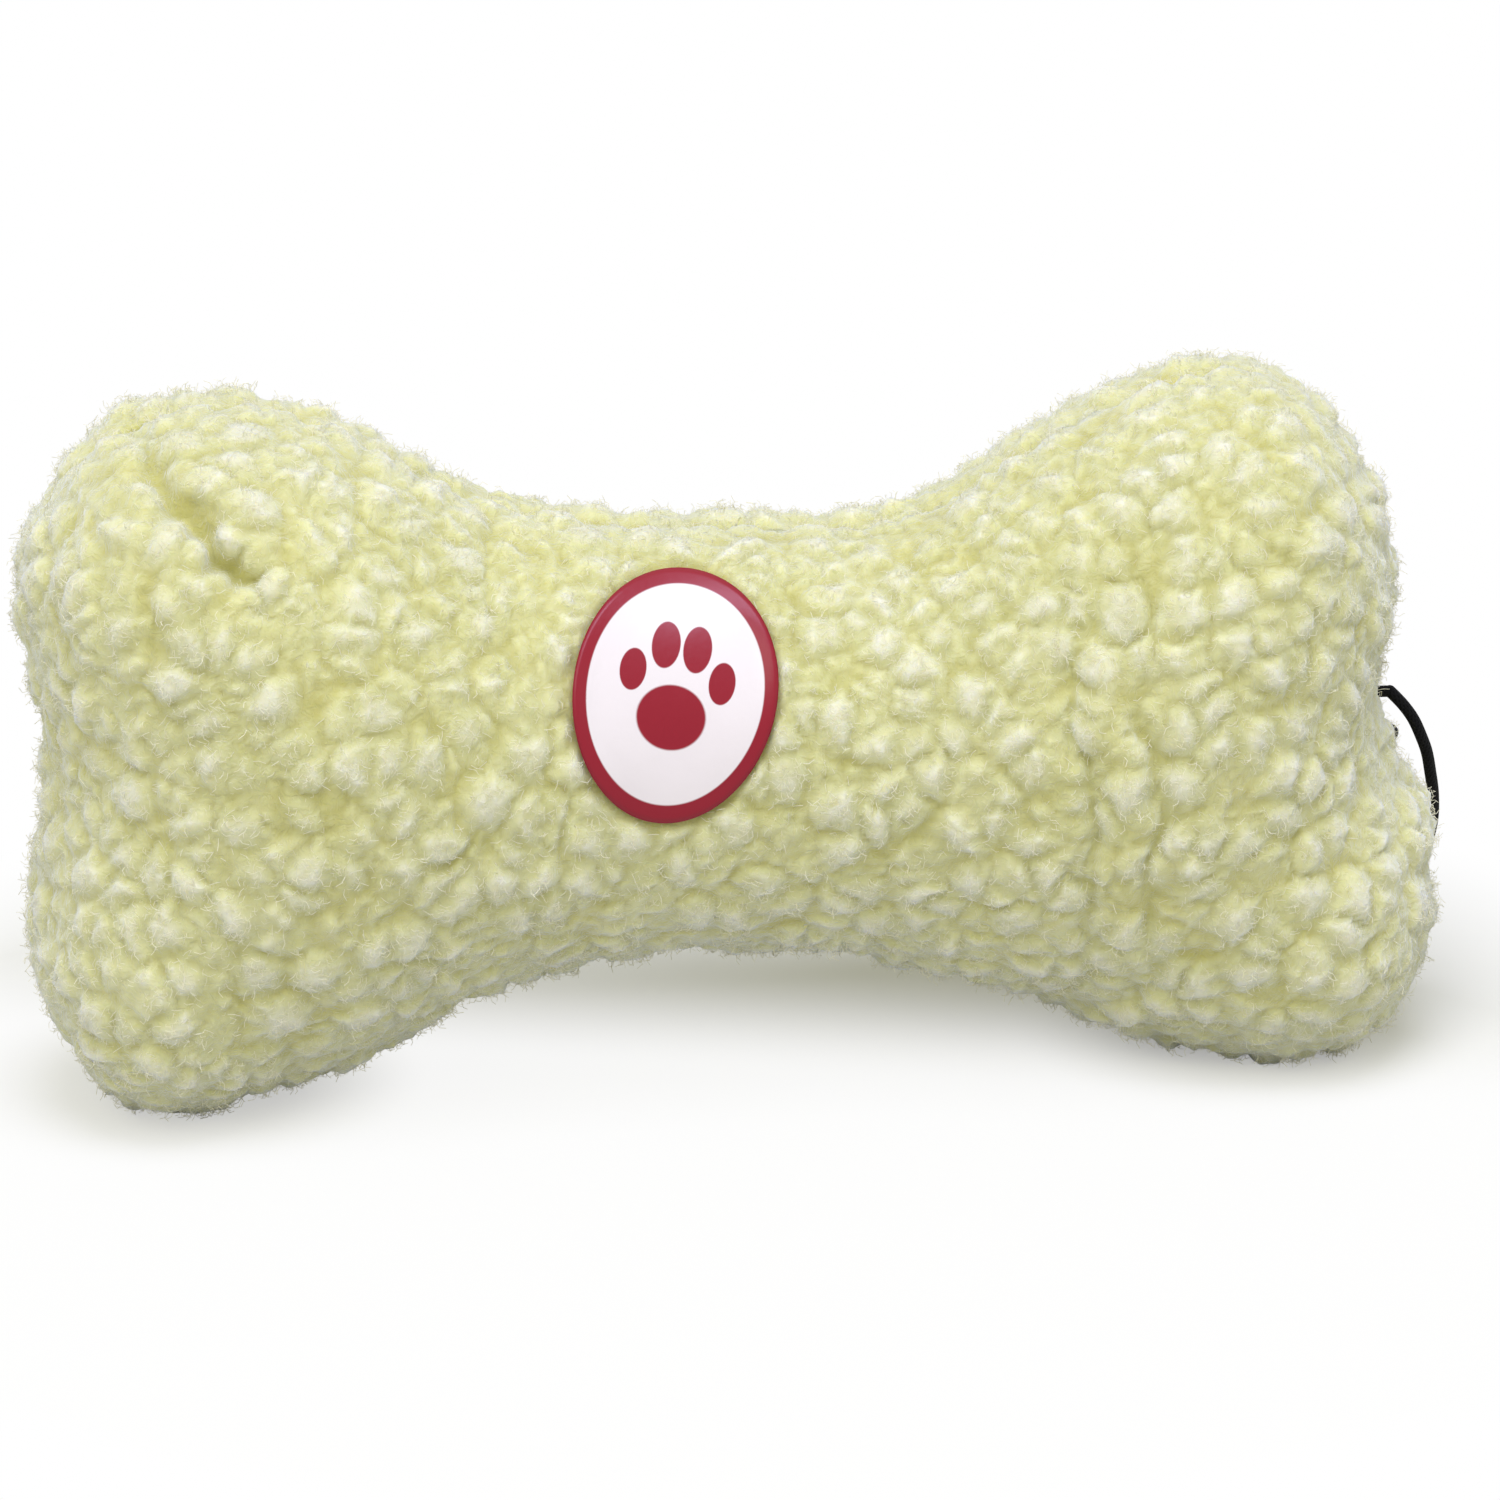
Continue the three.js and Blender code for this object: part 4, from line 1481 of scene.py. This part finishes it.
@dataclass
class OvalSticker:
    """Paper oval that bends with the front of the waist."""

    form: BoneForm
    palette: Palette
    height: float = 0.0405
    width: float = 0.032
    thickness: float = 0.0003
    x: float = -0.0106
    z: float = 0.0158
    tilt: float = math.radians(12)
    lift: float = 0.0003
    wave_height: float = 0.0002
    curl_height: float = 0.0006
    curl_start: float = 0.75
    rings: int = 22
    sides: int = 96

    def frame(self) -> tuple[np.ndarray, np.ndarray, np.ndarray]:
        """Middle of the oval on the fleece, with its outward and upward directions.

        Returns:
            A point and two unit vectors.
        """
        start = np.array([self.form.centre]) + np.array([[self.x, 0, self.z]])
        middle = self.form.cast(start, np.array([[0.0, -1.0, 0.0]]), 0.0)
        slope = unit(self.form.outward(middle)[0] * np.array([0, 1, 1]))
        upward = np.array([0, slope[2], -slope[1]])
        return middle[0], slope, upward * math.copysign(1, upward[2])

    def reach(self, points: np.ndarray) -> np.ndarray:
        """How far points are from the oval's middle, 1 at its edge.

        Args:
            points: Rows of X, Y and Z.

        Returns:
            Shares of the oval's half size, large on the other side of the toy.
        """
        middle, slope, upward = self.frame()
        away = points - middle
        across, up = away[:, 0], away @ upward
        cos, sin = math.cos(self.tilt), math.sin(self.tilt)
        local_x, local_z = across * cos - up * sin, across * sin + up * cos
        shares = np.hypot(local_x / (self.width / 2), local_z / (self.height / 2))
        return np.where(away @ slope > -self.form.waist_thickness / 3, shares, FAR_OFF)

    def surface(self, shares: np.ndarray, turns: np.ndarray, lift: float) -> np.ndarray:
        """Points of the paper above the fleece.

        Args:
            shares: Distance from the middle, 1 at the edge.
            turns: Angle round the middle.
            lift: Height above the pile's tips.

        Returns:
            The points.
        """
        middle, slope, upward = self.frame()
        x = shares * np.cos(turns) * self.width / 2
        z = shares * np.sin(turns) * self.height / 2
        cos, sin = math.cos(self.tilt), math.sin(self.tilt)
        across, up = x * cos + z * sin, z * cos - x * sin
        starts = middle - slope * self.form.waist_thickness / 4
        starts = starts + across[:, None] * np.array([1.0, 0, 0]) + up[:, None] * upward
        points = self.form.cast(starts, np.tile(slope, (len(starts), 1)), -lift)
        wave = self.wave_height * (1 + np.sin(310 * across + 1.2) * np.sin(260 * up + 0.4)) * shares
        curl = self.curl_height * smoothstep(shares, self.curl_start, 1.0) * np.sin(turns * 2 + 0.6)
        return points + slope * (wave + np.maximum(curl, 0))[:, None]

    def build(self) -> None:
        """Makes the sticker."""
        turns = np.linspace(0, 2 * math.pi, self.sides, endpoint=False)
        shares = np.linspace(0, 1, self.rings + 1)[1:]
        grid_shares = np.append(np.repeat(shares, self.sides), 0)
        grid_turns = np.append(np.tile(turns, self.rings), 0)
        fronts = self.surface(grid_shares, grid_turns, self.lift + self.thickness)
        backs = self.surface(grid_shares, grid_turns, self.lift)
        count = len(fronts)
        around = np.stack([np.cos(grid_turns), np.sin(grid_turns)], axis=1)
        places = 0.5 + 0.5 * grid_shares[:, None] * around
        faces = []
        for j in range(self.sides):
            k = (j + 1) % self.sides
            faces.append((count - 1, j, k))
            faces.append((2 * count - 1, count + k, count + j))
            for i in range(self.rings - 1):
                a, b = i * self.sides, (i + 1) * self.sides
                faces.append((a + j, b + j, b + k, a + k))
                faces.append((count + a + k, count + b + k, count + b + j, count + a + j))
            last = (self.rings - 1) * self.sides
            faces.append((last + j, count + last + j, count + last + k, last + k))
        paper = mesh_object("oval_paper_sticker", np.vstack([fronts, backs]), faces)
        layer = paper.data.uv_layers.new(name="UVMap")
        corners = np.empty(len(paper.data.loops), np.int32)
        paper.data.loops.foreach_get("vertex_index", corners)
        layer.data.foreach_set("uv", np.vstack([places, places])[corners].astype(np.float32).ravel())
        paper.data.shade_smooth()
        paper.data.materials.append(self.palette.paper.build())
        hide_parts("oval_sticker")
        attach(paper, "front_cover")
        Squeeze.front(paper)
        log.info("sticker: %d faces", len(faces))


class Squeeze:
    """Soft pieces of the squeeze; each only gets a mesh of its own and does not flatten when the waist is
    squeezed.
    """

    JOINT = "squeeze"
    TRAVEL = 0.014
    FRONT_KEEP = 0.64

    @classmethod
    def front(cls, piece: bpy.types.Object) -> None:
        """Gives a piece that rides the front cover a mesh of its own; it does not move with the squeeze.

        Args:
            piece: Mesh that is in place.
        """
        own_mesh(piece)

    @classmethod
    def inside(cls, piece: bpy.types.Object, anchor: float, keep: float) -> None:
        """Gives a piece that stays with the back cover a mesh of its own; it does not flatten.

        Args:
            piece: Mesh that is in place.
            anchor: Y of the plane that it would flatten towards; not used.
            keep: Share of its thickness that would be left; not used.
        """
        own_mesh(piece)


@dataclass(frozen=True)
class Crease:
    """Furrow in the front of the cover, from one place in X and Z to another."""

    start: tuple[float, float]
    end: tuple[float, float]
    depth: float
    half_width: float
    wander: float = 0.0005

    def sink(self, points: np.ndarray) -> np.ndarray:
        """Depth of the furrow at points.

        Args:
            points: Rows of X, Y and Z.

        Returns:
            Depths, 0 away from the furrow and on the back.
        """
        start, run = np.array(self.start), np.subtract(self.end, self.start)
        flat = points[:, [0, 2]] - start
        along = np.clip(flat @ run / np.sum(run**2), 0, 1)
        across = unit(np.array([-run[1], run[0]])) * self.wander
        bend = np.sin(15 * along + 0.7) + 0.6 * np.sin(37 * along)
        away = np.linalg.norm(flat - along[:, None] * run - bend[:, None] * across, axis=1)
        fade = np.sin(np.clip(along, 0.05, 0.95) * math.pi) ** 0.5
        return self.depth * fade * np.exp(-((away / self.half_width) ** 2)) * (points[:, 1] < 0)


@dataclass
class FleeceCover:
    """Stuffed cover in two halves, swollen by its filling and covered in curly pile."""

    form: BoneForm
    palette: Palette
    sticker: OvalSticker
    start_depth: float = 0.0075
    base_depth: float = 0.0012
    cap: float = 0.004
    voxel: float = 0.0028
    pinned: float = 0.0022
    pressure: float = 4.0
    frames: int = 20
    groove: float = 0.0018
    groove_half: float = 0.0026
    creases: tuple[Crease, ...] = (
        Crease((-0.0938, 0.1066), (-0.0776, 0.0891), 0.0044, 0.0021),
        Crease((0.0488, 0.0830), (0.0550, 0.0230), 0.0020, 0.0025, 0.0010),
        Crease((0.0592, 0.0850), (0.0632, 0.0220), 0.0020, 0.0025, 0.0010),
    )
    bed_depth: float = 0.0012
    bed_pile: float = 0.15
    bed_edge: tuple[float, float] = (1.08, 0.96)
    fold_bare: float = 0.75
    fold_range: tuple[float, float] = (0.0008, 0.003)
    seam_bare: float = 0.25
    unevenness: float = 0.0012
    columns: int = 110
    meridians: int = 88
    pile_height: float = 0.0026
    fuzz_density: float = 1500000.0
    padding: float = 0.8
    floor_gap: float = 0.0001

    def build(self) -> None:
        """Makes both halves with their pile and stray fibres."""
        skin = self.swollen()
        skin = self.refined(skin)
        pile, fuzz = PileTree.build(), FuzzTree.build()
        coat, hairs = self.palette.fleece.build(), self.palette.fuzz.build()
        for side in Side:
            name = side.name.lower()
            bare = link(f"{name}_skin", skin.data.copy())
            add_nodes(bare, pile, pile_height=self.pile_height, side=side.value, material=coat)
            half = baked(bare, f"{name}_fleece")
            self.rest_on_floor(half.data)
            pieces = [half]
            for end in End:
                strands = link(f"{name}_strands", half.data.copy())
                strands.data.materials.clear()
                add_nodes(strands, fuzz, density=self.fuzz_density, end=end.value, material=hairs)
                stray = baked(strands, f"{name}_{end.name.lower()}_fuzz")
                self.rest_on_floor(stray.data)
                pieces.append(stray)
            for piece in pieces:
                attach(piece, f"{name}_cover")
                if side is Side.FRONT:
                    Squeeze.front(piece)
                log.info("%s: %d faces", piece.name, len(piece.data.polygons))
            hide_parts(f"{name}_fleece_panel")
        bpy.data.objects.remove(skin)

    def swollen(self) -> bpy.types.Object:
        """Closed skin that the filling has swollen, its seam held.

        Returns:
            The skin.
        """
        points, faces = self.form.skin(self.columns, self.meridians, self.start_depth)
        skin = mesh_object("skin", points, faces)
        remesh = skin.modifiers.new("even", "REMESH")
        remesh.mode = "VOXEL"
        remesh.voxel_size = self.voxel
        remesh.use_smooth_shade = True
        skin = baked(skin, "skin")
        rest = points_of(skin.data)
        self.simulate(skin, rest)
        skin = baked(skin, "skin")
        moved = points_of(skin.data) - rest
        length = np.linalg.norm(moved, axis=1, keepdims=True)
        moved *= np.minimum(1, self.cap / np.maximum(length, 1e-9))
        set_points(skin.data, rest + moved)
        log.info("swelling: mean %.2f mm, most %.2f mm", 1000 * length.mean(), 1000 * length.max())
        return skin

    def simulate(self, skin: bpy.types.Object, rest: np.ndarray) -> None:
        """Runs the cloth simulation on the skin.

        Args:
            skin: Closed skin.
            rest: Its points.
        """
        seam = skin.vertex_groups.new(name="seam")
        seam.add(np.flatnonzero(np.abs(rest[:, 1]) < self.pinned).tolist(), 1.0, "REPLACE")
        cloth = skin.modifiers.new("swell", "CLOTH")
        settings = cloth.settings
        settings.quality = 5
        settings.mass = 0.2
        settings.tension_stiffness = 18
        settings.compression_stiffness = 18
        settings.shear_stiffness = 8
        settings.bending_stiffness = 0.6
        settings.vertex_group_mass = "seam"
        settings.use_pressure = True
        settings.uniform_pressure_force = self.pressure
        settings.effector_weights.gravity = 0
        cloth.collision_settings.use_collision = False
        cloth.point_cache.frame_start = 1
        cloth.point_cache.frame_end = self.frames
        scene = bpy.context.scene
        for number in range(1, self.frames + 1):
            scene.frame_set(number)

    def refined(self, skin: bpy.types.Object) -> bpy.types.Object:
        """Finer skin at the depth of the backing, with its seam, its creases and the bed of the sticker.

        Args:
            skin: Swollen skin.

        Returns:
            The finer skin, with the share of the pile that stands at each point.
        """
        divide = skin.modifiers.new("finer", "SUBSURF")
        divide.levels = 2
        divide.render_levels = 2
        skin = baked(skin, "skin")
        points = points_of(skin.data)
        depth = self.form.distance(points)
        seam = np.exp(-((points[:, 1] / self.groove_half) ** 2))
        uneven = np.clip(depth - depth.mean(), -self.unevenness, self.unevenness)
        levels = uneven - self.base_depth - self.groove * seam
        folds = sum(crease.sink(points) for crease in self.creases)
        levels -= folds
        points = self.form.settled(points, levels)
        bed = smoothstep(self.sticker.reach(points), *self.bed_edge)
        levels += bed * (-self.bed_depth - levels)
        points = self.form.settled(points, levels)
        # Less pile in the seam groove, in the creases and under the sticker also gives these places the
        # painted crevice shade of the fleece finish
        share = (1 - (1 - self.bed_pile) * bed) * (1 - self.seam_bare * seam)
        share = share * (1 - self.fold_bare * smoothstep(folds, *self.fold_range))
        set_points(skin.data, points)
        set_values(skin.data, "pile_share", share)
        return skin

    def rest_on_floor(self, mesh: bpy.types.Mesh) -> None:
        """Presses flat what would be under the floor.

        Args:
            mesh: Mesh in the row frame.
        """
        points = points_of(mesh)
        points[:, 2] = np.maximum(points[:, 2], self.floor_gap)
        set_points(mesh, points)


@dataclass
class Seam:
    """Overlock round the turned-in edges, and the hand stitch that closes the stuffing gap."""

    form: BoneForm
    palette: Palette
    lip_depth: float = 0.011
    lip_half: float = 0.00235
    lip_steps: int = 90
    thread: float = 0.00045
    thread_sides: int = 6
    tail: float = 0.0024
    wrap: float = 0.0006
    pitch: float = 0.0028
    closing_length: float = 0.060
    closing_steps: int = 40
    closing_depth: float = 0.0015
    closing_pairs: int = 6
    closing_half: float = 0.0014
    closing_thread: float = 0.0008

    def build(self) -> None:
        """Makes both runs of thread."""
        material = self.palette.thread.build()
        run = StitchTree.build()
        line = self.form.seam_line(self.lip_steps, self.lip_depth)
        edges = [(i, (i + 1) % len(line)) for i in range(len(line))]
        stitch = self.overlock_stitch()
        self.sew("overlock_thread", line, edges, stitch, self.pitch, run, material, "seam_overlock")
        count = self.closing_steps + 1
        xs = np.linspace(-0.5, 0.5, count) * self.closing_length + self.form.centre[0]
        starts = np.stack([xs, np.zeros(count), np.full(count, self.form.centre[2])], axis=1)
        under = self.form.cast(starts, np.tile([0.0, 0.0, -1.0], (count, 1)), self.closing_depth)
        edges = [(i, i + 1) for i in range(self.closing_steps)]
        pitch = self.closing_length / self.closing_pairs
        stitch = self.ladder_stitch(pitch)
        self.sew("ladder_thread", under, edges, stitch, pitch, run, material, "closing_ladder_stitch")

    def sew(self, name: str, line: np.ndarray, edges: list, stitch: bpy.types.Object, pitch: float,
            run: bpy.types.NodeTree, material: bpy.types.Material, node: str) -> None:
        """Repeats a stitch along a line.

        Args:
            name: Name of the piece.
            line: Points of the line.
            edges: Its edges.
            stitch: One stitch, which is removed.
            pitch: Distance between stitches.
            run: The node tree that repeats it.
            material: Finish of the thread.
            node: Construction node that it stands for.
        """
        path = mesh_object(f"{name}_path", line, [], edges)
        add_nodes(path, run, stitch=stitch, pitch=pitch, material=material)
        made = baked(path, name)
        bpy.data.objects.remove(stitch)
        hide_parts(node)
        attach(made, INNER_BODY)
        log.info("%s: %d faces", name, len(made.data.polygons))

    def overlock_stitch(self) -> bpy.types.Object:
        """One slanted wrap of thread over both cut edges, with X along the seam.

        Returns:
            The stitch.
        """
        half, step = self.lip_half + self.thread, self.pitch / 2
        line = np.array([
            (-step, -half, -self.tail), (-0.6 * step, -half, -self.wrap),
            (-0.1 * step, -0.55 * half, self.wrap), (0.1 * step, 0.55 * half, self.wrap),
            (0.6 * step, half, -self.wrap), (step, half, -self.tail),
        ])
        radii = np.full(12, self.thread / 2)
        return tube("overlock_stitch", smooth_line(line, len(radii)), radii, self.thread_sides)

    def ladder_stitch(self, pitch: float) -> bpy.types.Object:
        """Two slanted steps of the ladder stitch, with X along the seam.

        Args:
            pitch: Length of the two steps.

        Returns:
            The stitch.
        """
        half = self.closing_half
        line = np.array([(-pitch / 2, -half, 0), (-pitch / 4, 0.2 * half, 0), (0, half, 0),
                         (pitch / 4, -0.2 * half, 0), (pitch / 2, -half, 0)])
        radii = np.full(16, self.closing_thread / 2)
        return tube("ladder_stitch", smooth_line(line, len(radii)), radii, self.thread_sides)


@dataclass
class Filling:
    """Wads of loose fibre in the four lobes and round the squeaker."""

    palette: Palette
    voxel: float = 0.0022
    lobe_anchor: float = 0.025
    lobe_keep: float = 0.8
    padding: float = 0.5
    lobes: tuple[str, ...] = (
        "filling_upper_left", "filling_lower_left", "filling_upper_right", "filling_lower_right",
    )
    waist: tuple[str, ...] = ("filling_waist_front", "filling_waist_back")

    def build(self) -> None:
        """Makes each wad from the room that the construction gives it."""
        material = self.palette.filling.build()
        tousle = WadTree.build()
        for name in self.lobes + self.waist:
            wad = link(f"{name}_wad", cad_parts[name].data.copy())
            wad.data.materials.clear()
            even = wad.modifiers.new("even", "REMESH")
            even.mode = "VOXEL"
            even.voxel_size = self.voxel
            ease = wad.modifiers.new("ease", "SMOOTH")
            ease.factor = 0.5
            ease.iterations = 8
            add_nodes(wad, tousle, material=material)
            wad = baked(wad, f"{name}_wad")
            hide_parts(name)
            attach(wad, INNER_BODY)
            if name in self.lobes:
                Squeeze.inside(wad, self.lobe_anchor, self.lobe_keep)
            elif name == "filling_waist_front":
                Squeeze.inside(wad, 0.0, Squeeze.FRONT_KEEP)
            log.info("%s: %d faces", wad.name, len(wad.data.polygons))


@dataclass
class Squeaker:
    """Squeaker in the waist: a soft bulb on its side, with a reed unit in its neck.

    Places along X are from its middle.
    """

    palette: Palette
    centre: Point = MIDDLE
    radius: float = 0.017
    half_thickness: float = 0.012
    edge_radius: float = 0.010
    wall: float = 0.0012
    neck_radius: float = 0.0065
    neck_flare: float = 0.0018
    flare_in: float = 0.003
    flare_out: float = 0.001
    flare_steps: int = 6
    edge_steps: int = 12
    neck_end: float = 0.022
    housing_start: float = 0.0108
    housing_radius: float = 0.0045
    housing_bore: float = 0.0035
    flange_radius: float = 0.0062
    flange_start: float = 0.0223
    flange_end: float = 0.0238
    bevel: float = 0.0003
    clearance: float = 0.0003
    sides: int = 80
    keep: float = 0.8

    def build(self) -> None:
        """Makes the bulb and the reed unit."""
        bulb = self.dress(self.bulb(), self.palette.bulb, self.palette.bulb.build(), "squeaker_bulb")
        Squeeze.inside(bulb, 0.0, self.keep)
        reed = self.palette.reed.build()
        self.dress(self.housing(), self.palette.reed, reed, "reed_housing")
        film = self.palette.film.build()
        for name, material, finish in (
            ("reed_base", reed, self.palette.reed), ("reed_clamp", reed, self.palette.reed),
            ("reed_tongue", film, self.palette.film),
        ):
            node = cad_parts[name]
            node.data.materials.clear()
            node.data.materials.append(material)
            soften(node.data)

    @staticmethod
    def dress(
        piece: bpy.types.Object, finish: Finish, material: bpy.types.Material, node: str
    ) -> bpy.types.Object:
        """Gives a piece its finish and puts it in its node's place.

        Args:
            piece: The piece.
            finish: Finish that names its slot; not used.
            material: The finish's material.
            node: Construction node that it stands for.

        Returns:
            The piece.
        """
        soften(piece.data)
        piece.data.materials.clear()
        piece.data.materials.append(material)
        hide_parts(node)
        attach(piece, INNER_BODY)
        log.info("%s: %d faces", piece.name, len(piece.data.polygons))
        return piece

    def disc(self, name: str, inset: float) -> bpy.types.Object:
        """Round cushion of the bulb, its axis along Y.

        Args:
            name: Name of the object.
            inset: Distance inside the bulb's outside.

        Returns:
            The body.
        """
        radius, half, edge = self.radius - inset, self.half_thickness - inset, self.edge_radius - inset
        arc = np.linspace(0, math.pi / 2, self.edge_steps + 1)
        rise = [(edge * (1 - math.cos(turn)) - half, radius - edge * (1 - math.sin(turn))) for turn in arc]
        fall = [(-along, reach) for along, reach in reversed(rise)]
        return lathe(name, [(-half, 0.0), *rise, *fall, (half, 0.0)], self.sides, "Y", self.centre)

    def bulb(self) -> bpy.types.Object:
        """Hollow bulb with its neck, open for the housing.

        Returns:
            The bulb.
        """
        bulb = self.disc("squeaker_bulb_body", 0.0)
        root = self.radius - self.edge_radius
        tip, count = self.neck_end, self.flare_steps
        flare = np.linspace(self.radius - self.flare_in, self.radius + self.flare_out, count + 1)
        swept = [(x, self.neck_radius + self.neck_flare * (1 - i / count) ** 2) for i, x in enumerate(flare)]
        profile = [(root, 0.0), (root, swept[0][1]), *swept, (tip, self.neck_radius), (tip, 0.0)]
        neck = lathe("neck", profile, self.sides, "X", self.centre)
        bore_radius, past = self.housing_radius + self.clearance, tip + self.radius
        profile = [(0.0, 0.0), (0.0, bore_radius), (past, bore_radius), (past, 0.0)]
        bore = lathe("bore", profile, self.sides, "X", self.centre)
        tools = ((neck, "UNION"), (self.disc("hollow", self.wall), "DIFFERENCE"), (bore, "DIFFERENCE"))
        for tool, operation in tools:
            cut = bulb.modifiers.new(tool.name, "BOOLEAN")
            cut.operation = operation
            cut.object = tool
            cut.solver = "EXACT"
        made = baked(bulb, "squeaker_bulb_body")
        for tool, _ in tools:
            bpy.data.objects.remove(tool)
        return made

    def housing(self) -> bpy.types.Object:
        """Flanged tube that is pressed in the neck.

        Returns:
            The housing.
        """
        small = self.bevel
        profile = [
            (self.housing_start, self.housing_bore), (self.housing_start, self.housing_radius - small),
            (self.housing_start + small, self.housing_radius), (self.flange_start, self.housing_radius),
            (self.flange_start, self.flange_radius - small), (self.flange_start + small, self.flange_radius),
            (self.flange_end - small, self.flange_radius), (self.flange_end, self.flange_radius - small),
            (self.flange_end, self.housing_bore),
        ]
        return lathe("reed_housing_body", profile, self.sides, "X", self.centre)


@dataclass
class Studio:
    """White studio with soft light, and the camera at the photo's angle."""

    palette: Palette
    target: Point = MIDDLE
    azimuth: float = -6.84
    elevation: float = 17.27
    distance: float = 0.812
    frame_width: float = 0.24255
    seen_at: tuple[float, float] = (721.5, 733.3)
    picture: float = 1500.0
    roll: float = 0.35
    sensor: float = 36.0
    nearest: float = 0.02
    floor_half: float = 3.0
    ambient: float = 0.56
    ambient_tint: Rgb = (1.0, 0.995, 0.92)
    lamps: tuple[tuple[str, Point, float, float, Rgb], ...] = (
        ("key", (-0.55, -1.05, 1.0), 0.7, 5.2, (1.0, 0.98, 0.93)),
        ("top", (0.0, -0.5, 1.45), 0.8, 12.4, (0.965, 0.98, 1.34)),
        ("fill", (1.1, -0.9, 0.6), 0.9, 0.9, (1.0, 1.0, 0.95)),
    )

    def build_camera(self) -> None:
        """Places the camera."""
        turn, lift = math.radians(self.azimuth), math.radians(self.elevation)
        back = Vector((math.sin(turn) * math.cos(lift), -math.cos(turn) * math.cos(lift), math.sin(lift)))
        right = Vector((math.cos(turn), math.sin(turn), 0))
        up = back.cross(right)
        pixel = self.frame_width / self.picture
        aim = Vector(self.target)
        place = aim + back * self.distance
        seen_x, seen_y = self.seen_at
        aim = aim + right * (self.picture / 2 - seen_x) * pixel - up * (self.picture / 2 - seen_y) * pixel
        data = bpy.data.cameras.new("camera")
        data.sensor_width = self.sensor
        data.lens = self.sensor * self.distance / self.frame_width
        data.clip_start = self.nearest
        camera = bpy.data.objects.new("camera", data)
        bpy.context.scene.collection.objects.link(camera)
        facing = (place - aim).normalized()
        side = up.cross(facing).normalized()
        over = facing.cross(side)
        basis = Matrix((side, over, facing)).transposed().to_4x4()
        tilt = Matrix.Rotation(math.radians(-self.roll), 4, "Z")
        camera.matrix_world = Matrix.Translation(place) @ basis @ tilt
        bpy.context.scene.camera = camera

    def build_room(self) -> None:
        """Makes the floor, the light and the white surroundings."""
        half = self.floor_half
        corners = np.array([(-half, -half, 0), (half, -half, 0), (half, half, 0), (-half, half, 0)])
        floor = mesh_object("floor", corners, [(0, 1, 2, 3)])
        floor.data.materials.append(self.palette.floor.build())
        for name, place, width, watts, colour in self.lamps:
            data = bpy.data.lights.new(name, "AREA")
            data.shape = "DISK"
            data.size = width
            data.energy = watts
            data.color = colour
            lamp = bpy.data.objects.new(name, data)
            bpy.context.scene.collection.objects.link(lamp)
            lamp.location = place
            lamp.rotation_euler = (Vector(self.target) - Vector(place)).to_track_quat("-Z", "Y").to_euler()
        world = bpy.data.worlds.new("studio")
        bpy.context.scene.world = world
        world.use_nodes = True
        world.node_tree.nodes.clear()
        g = Graph(world.node_tree)
        seen = g.seen()
        strength = g.math("MULTIPLY_ADD", seen, 1.0 - self.ambient, self.ambient)
        tint = g.mixed(seen, self.ambient_tint, (1.0, 1.0, 1.0))
        sky = g.node("ShaderNodeBackground", {"Color": tint, "Strength": strength})
        g.node("ShaderNodeOutputWorld", {"Surface": sky.outputs[0]})
        bpy.context.scene.view_settings.view_transform = "Standard"


def main() -> None:
    """Builds the toy and its studio."""
    logging.basicConfig(level=logging.INFO, format="%(name)s: %(message)s")
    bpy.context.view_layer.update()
    form, palette = BoneForm(), Palette()
    ShaderGroups.fibre_grain()
    ShaderGroups.soft_mottle()
    studio = Studio(palette)
    studio.build_camera()
    HangLoop(palette).build()
    studio.build_room()
    sticker = OvalSticker(form, palette)
    FleeceCover(form, palette, sticker).build()
    sticker.build()
    Seam(form, palette).build()
    Filling(palette).build()
    Squeaker(palette).build()


if __name__ == "__main__":
    main()
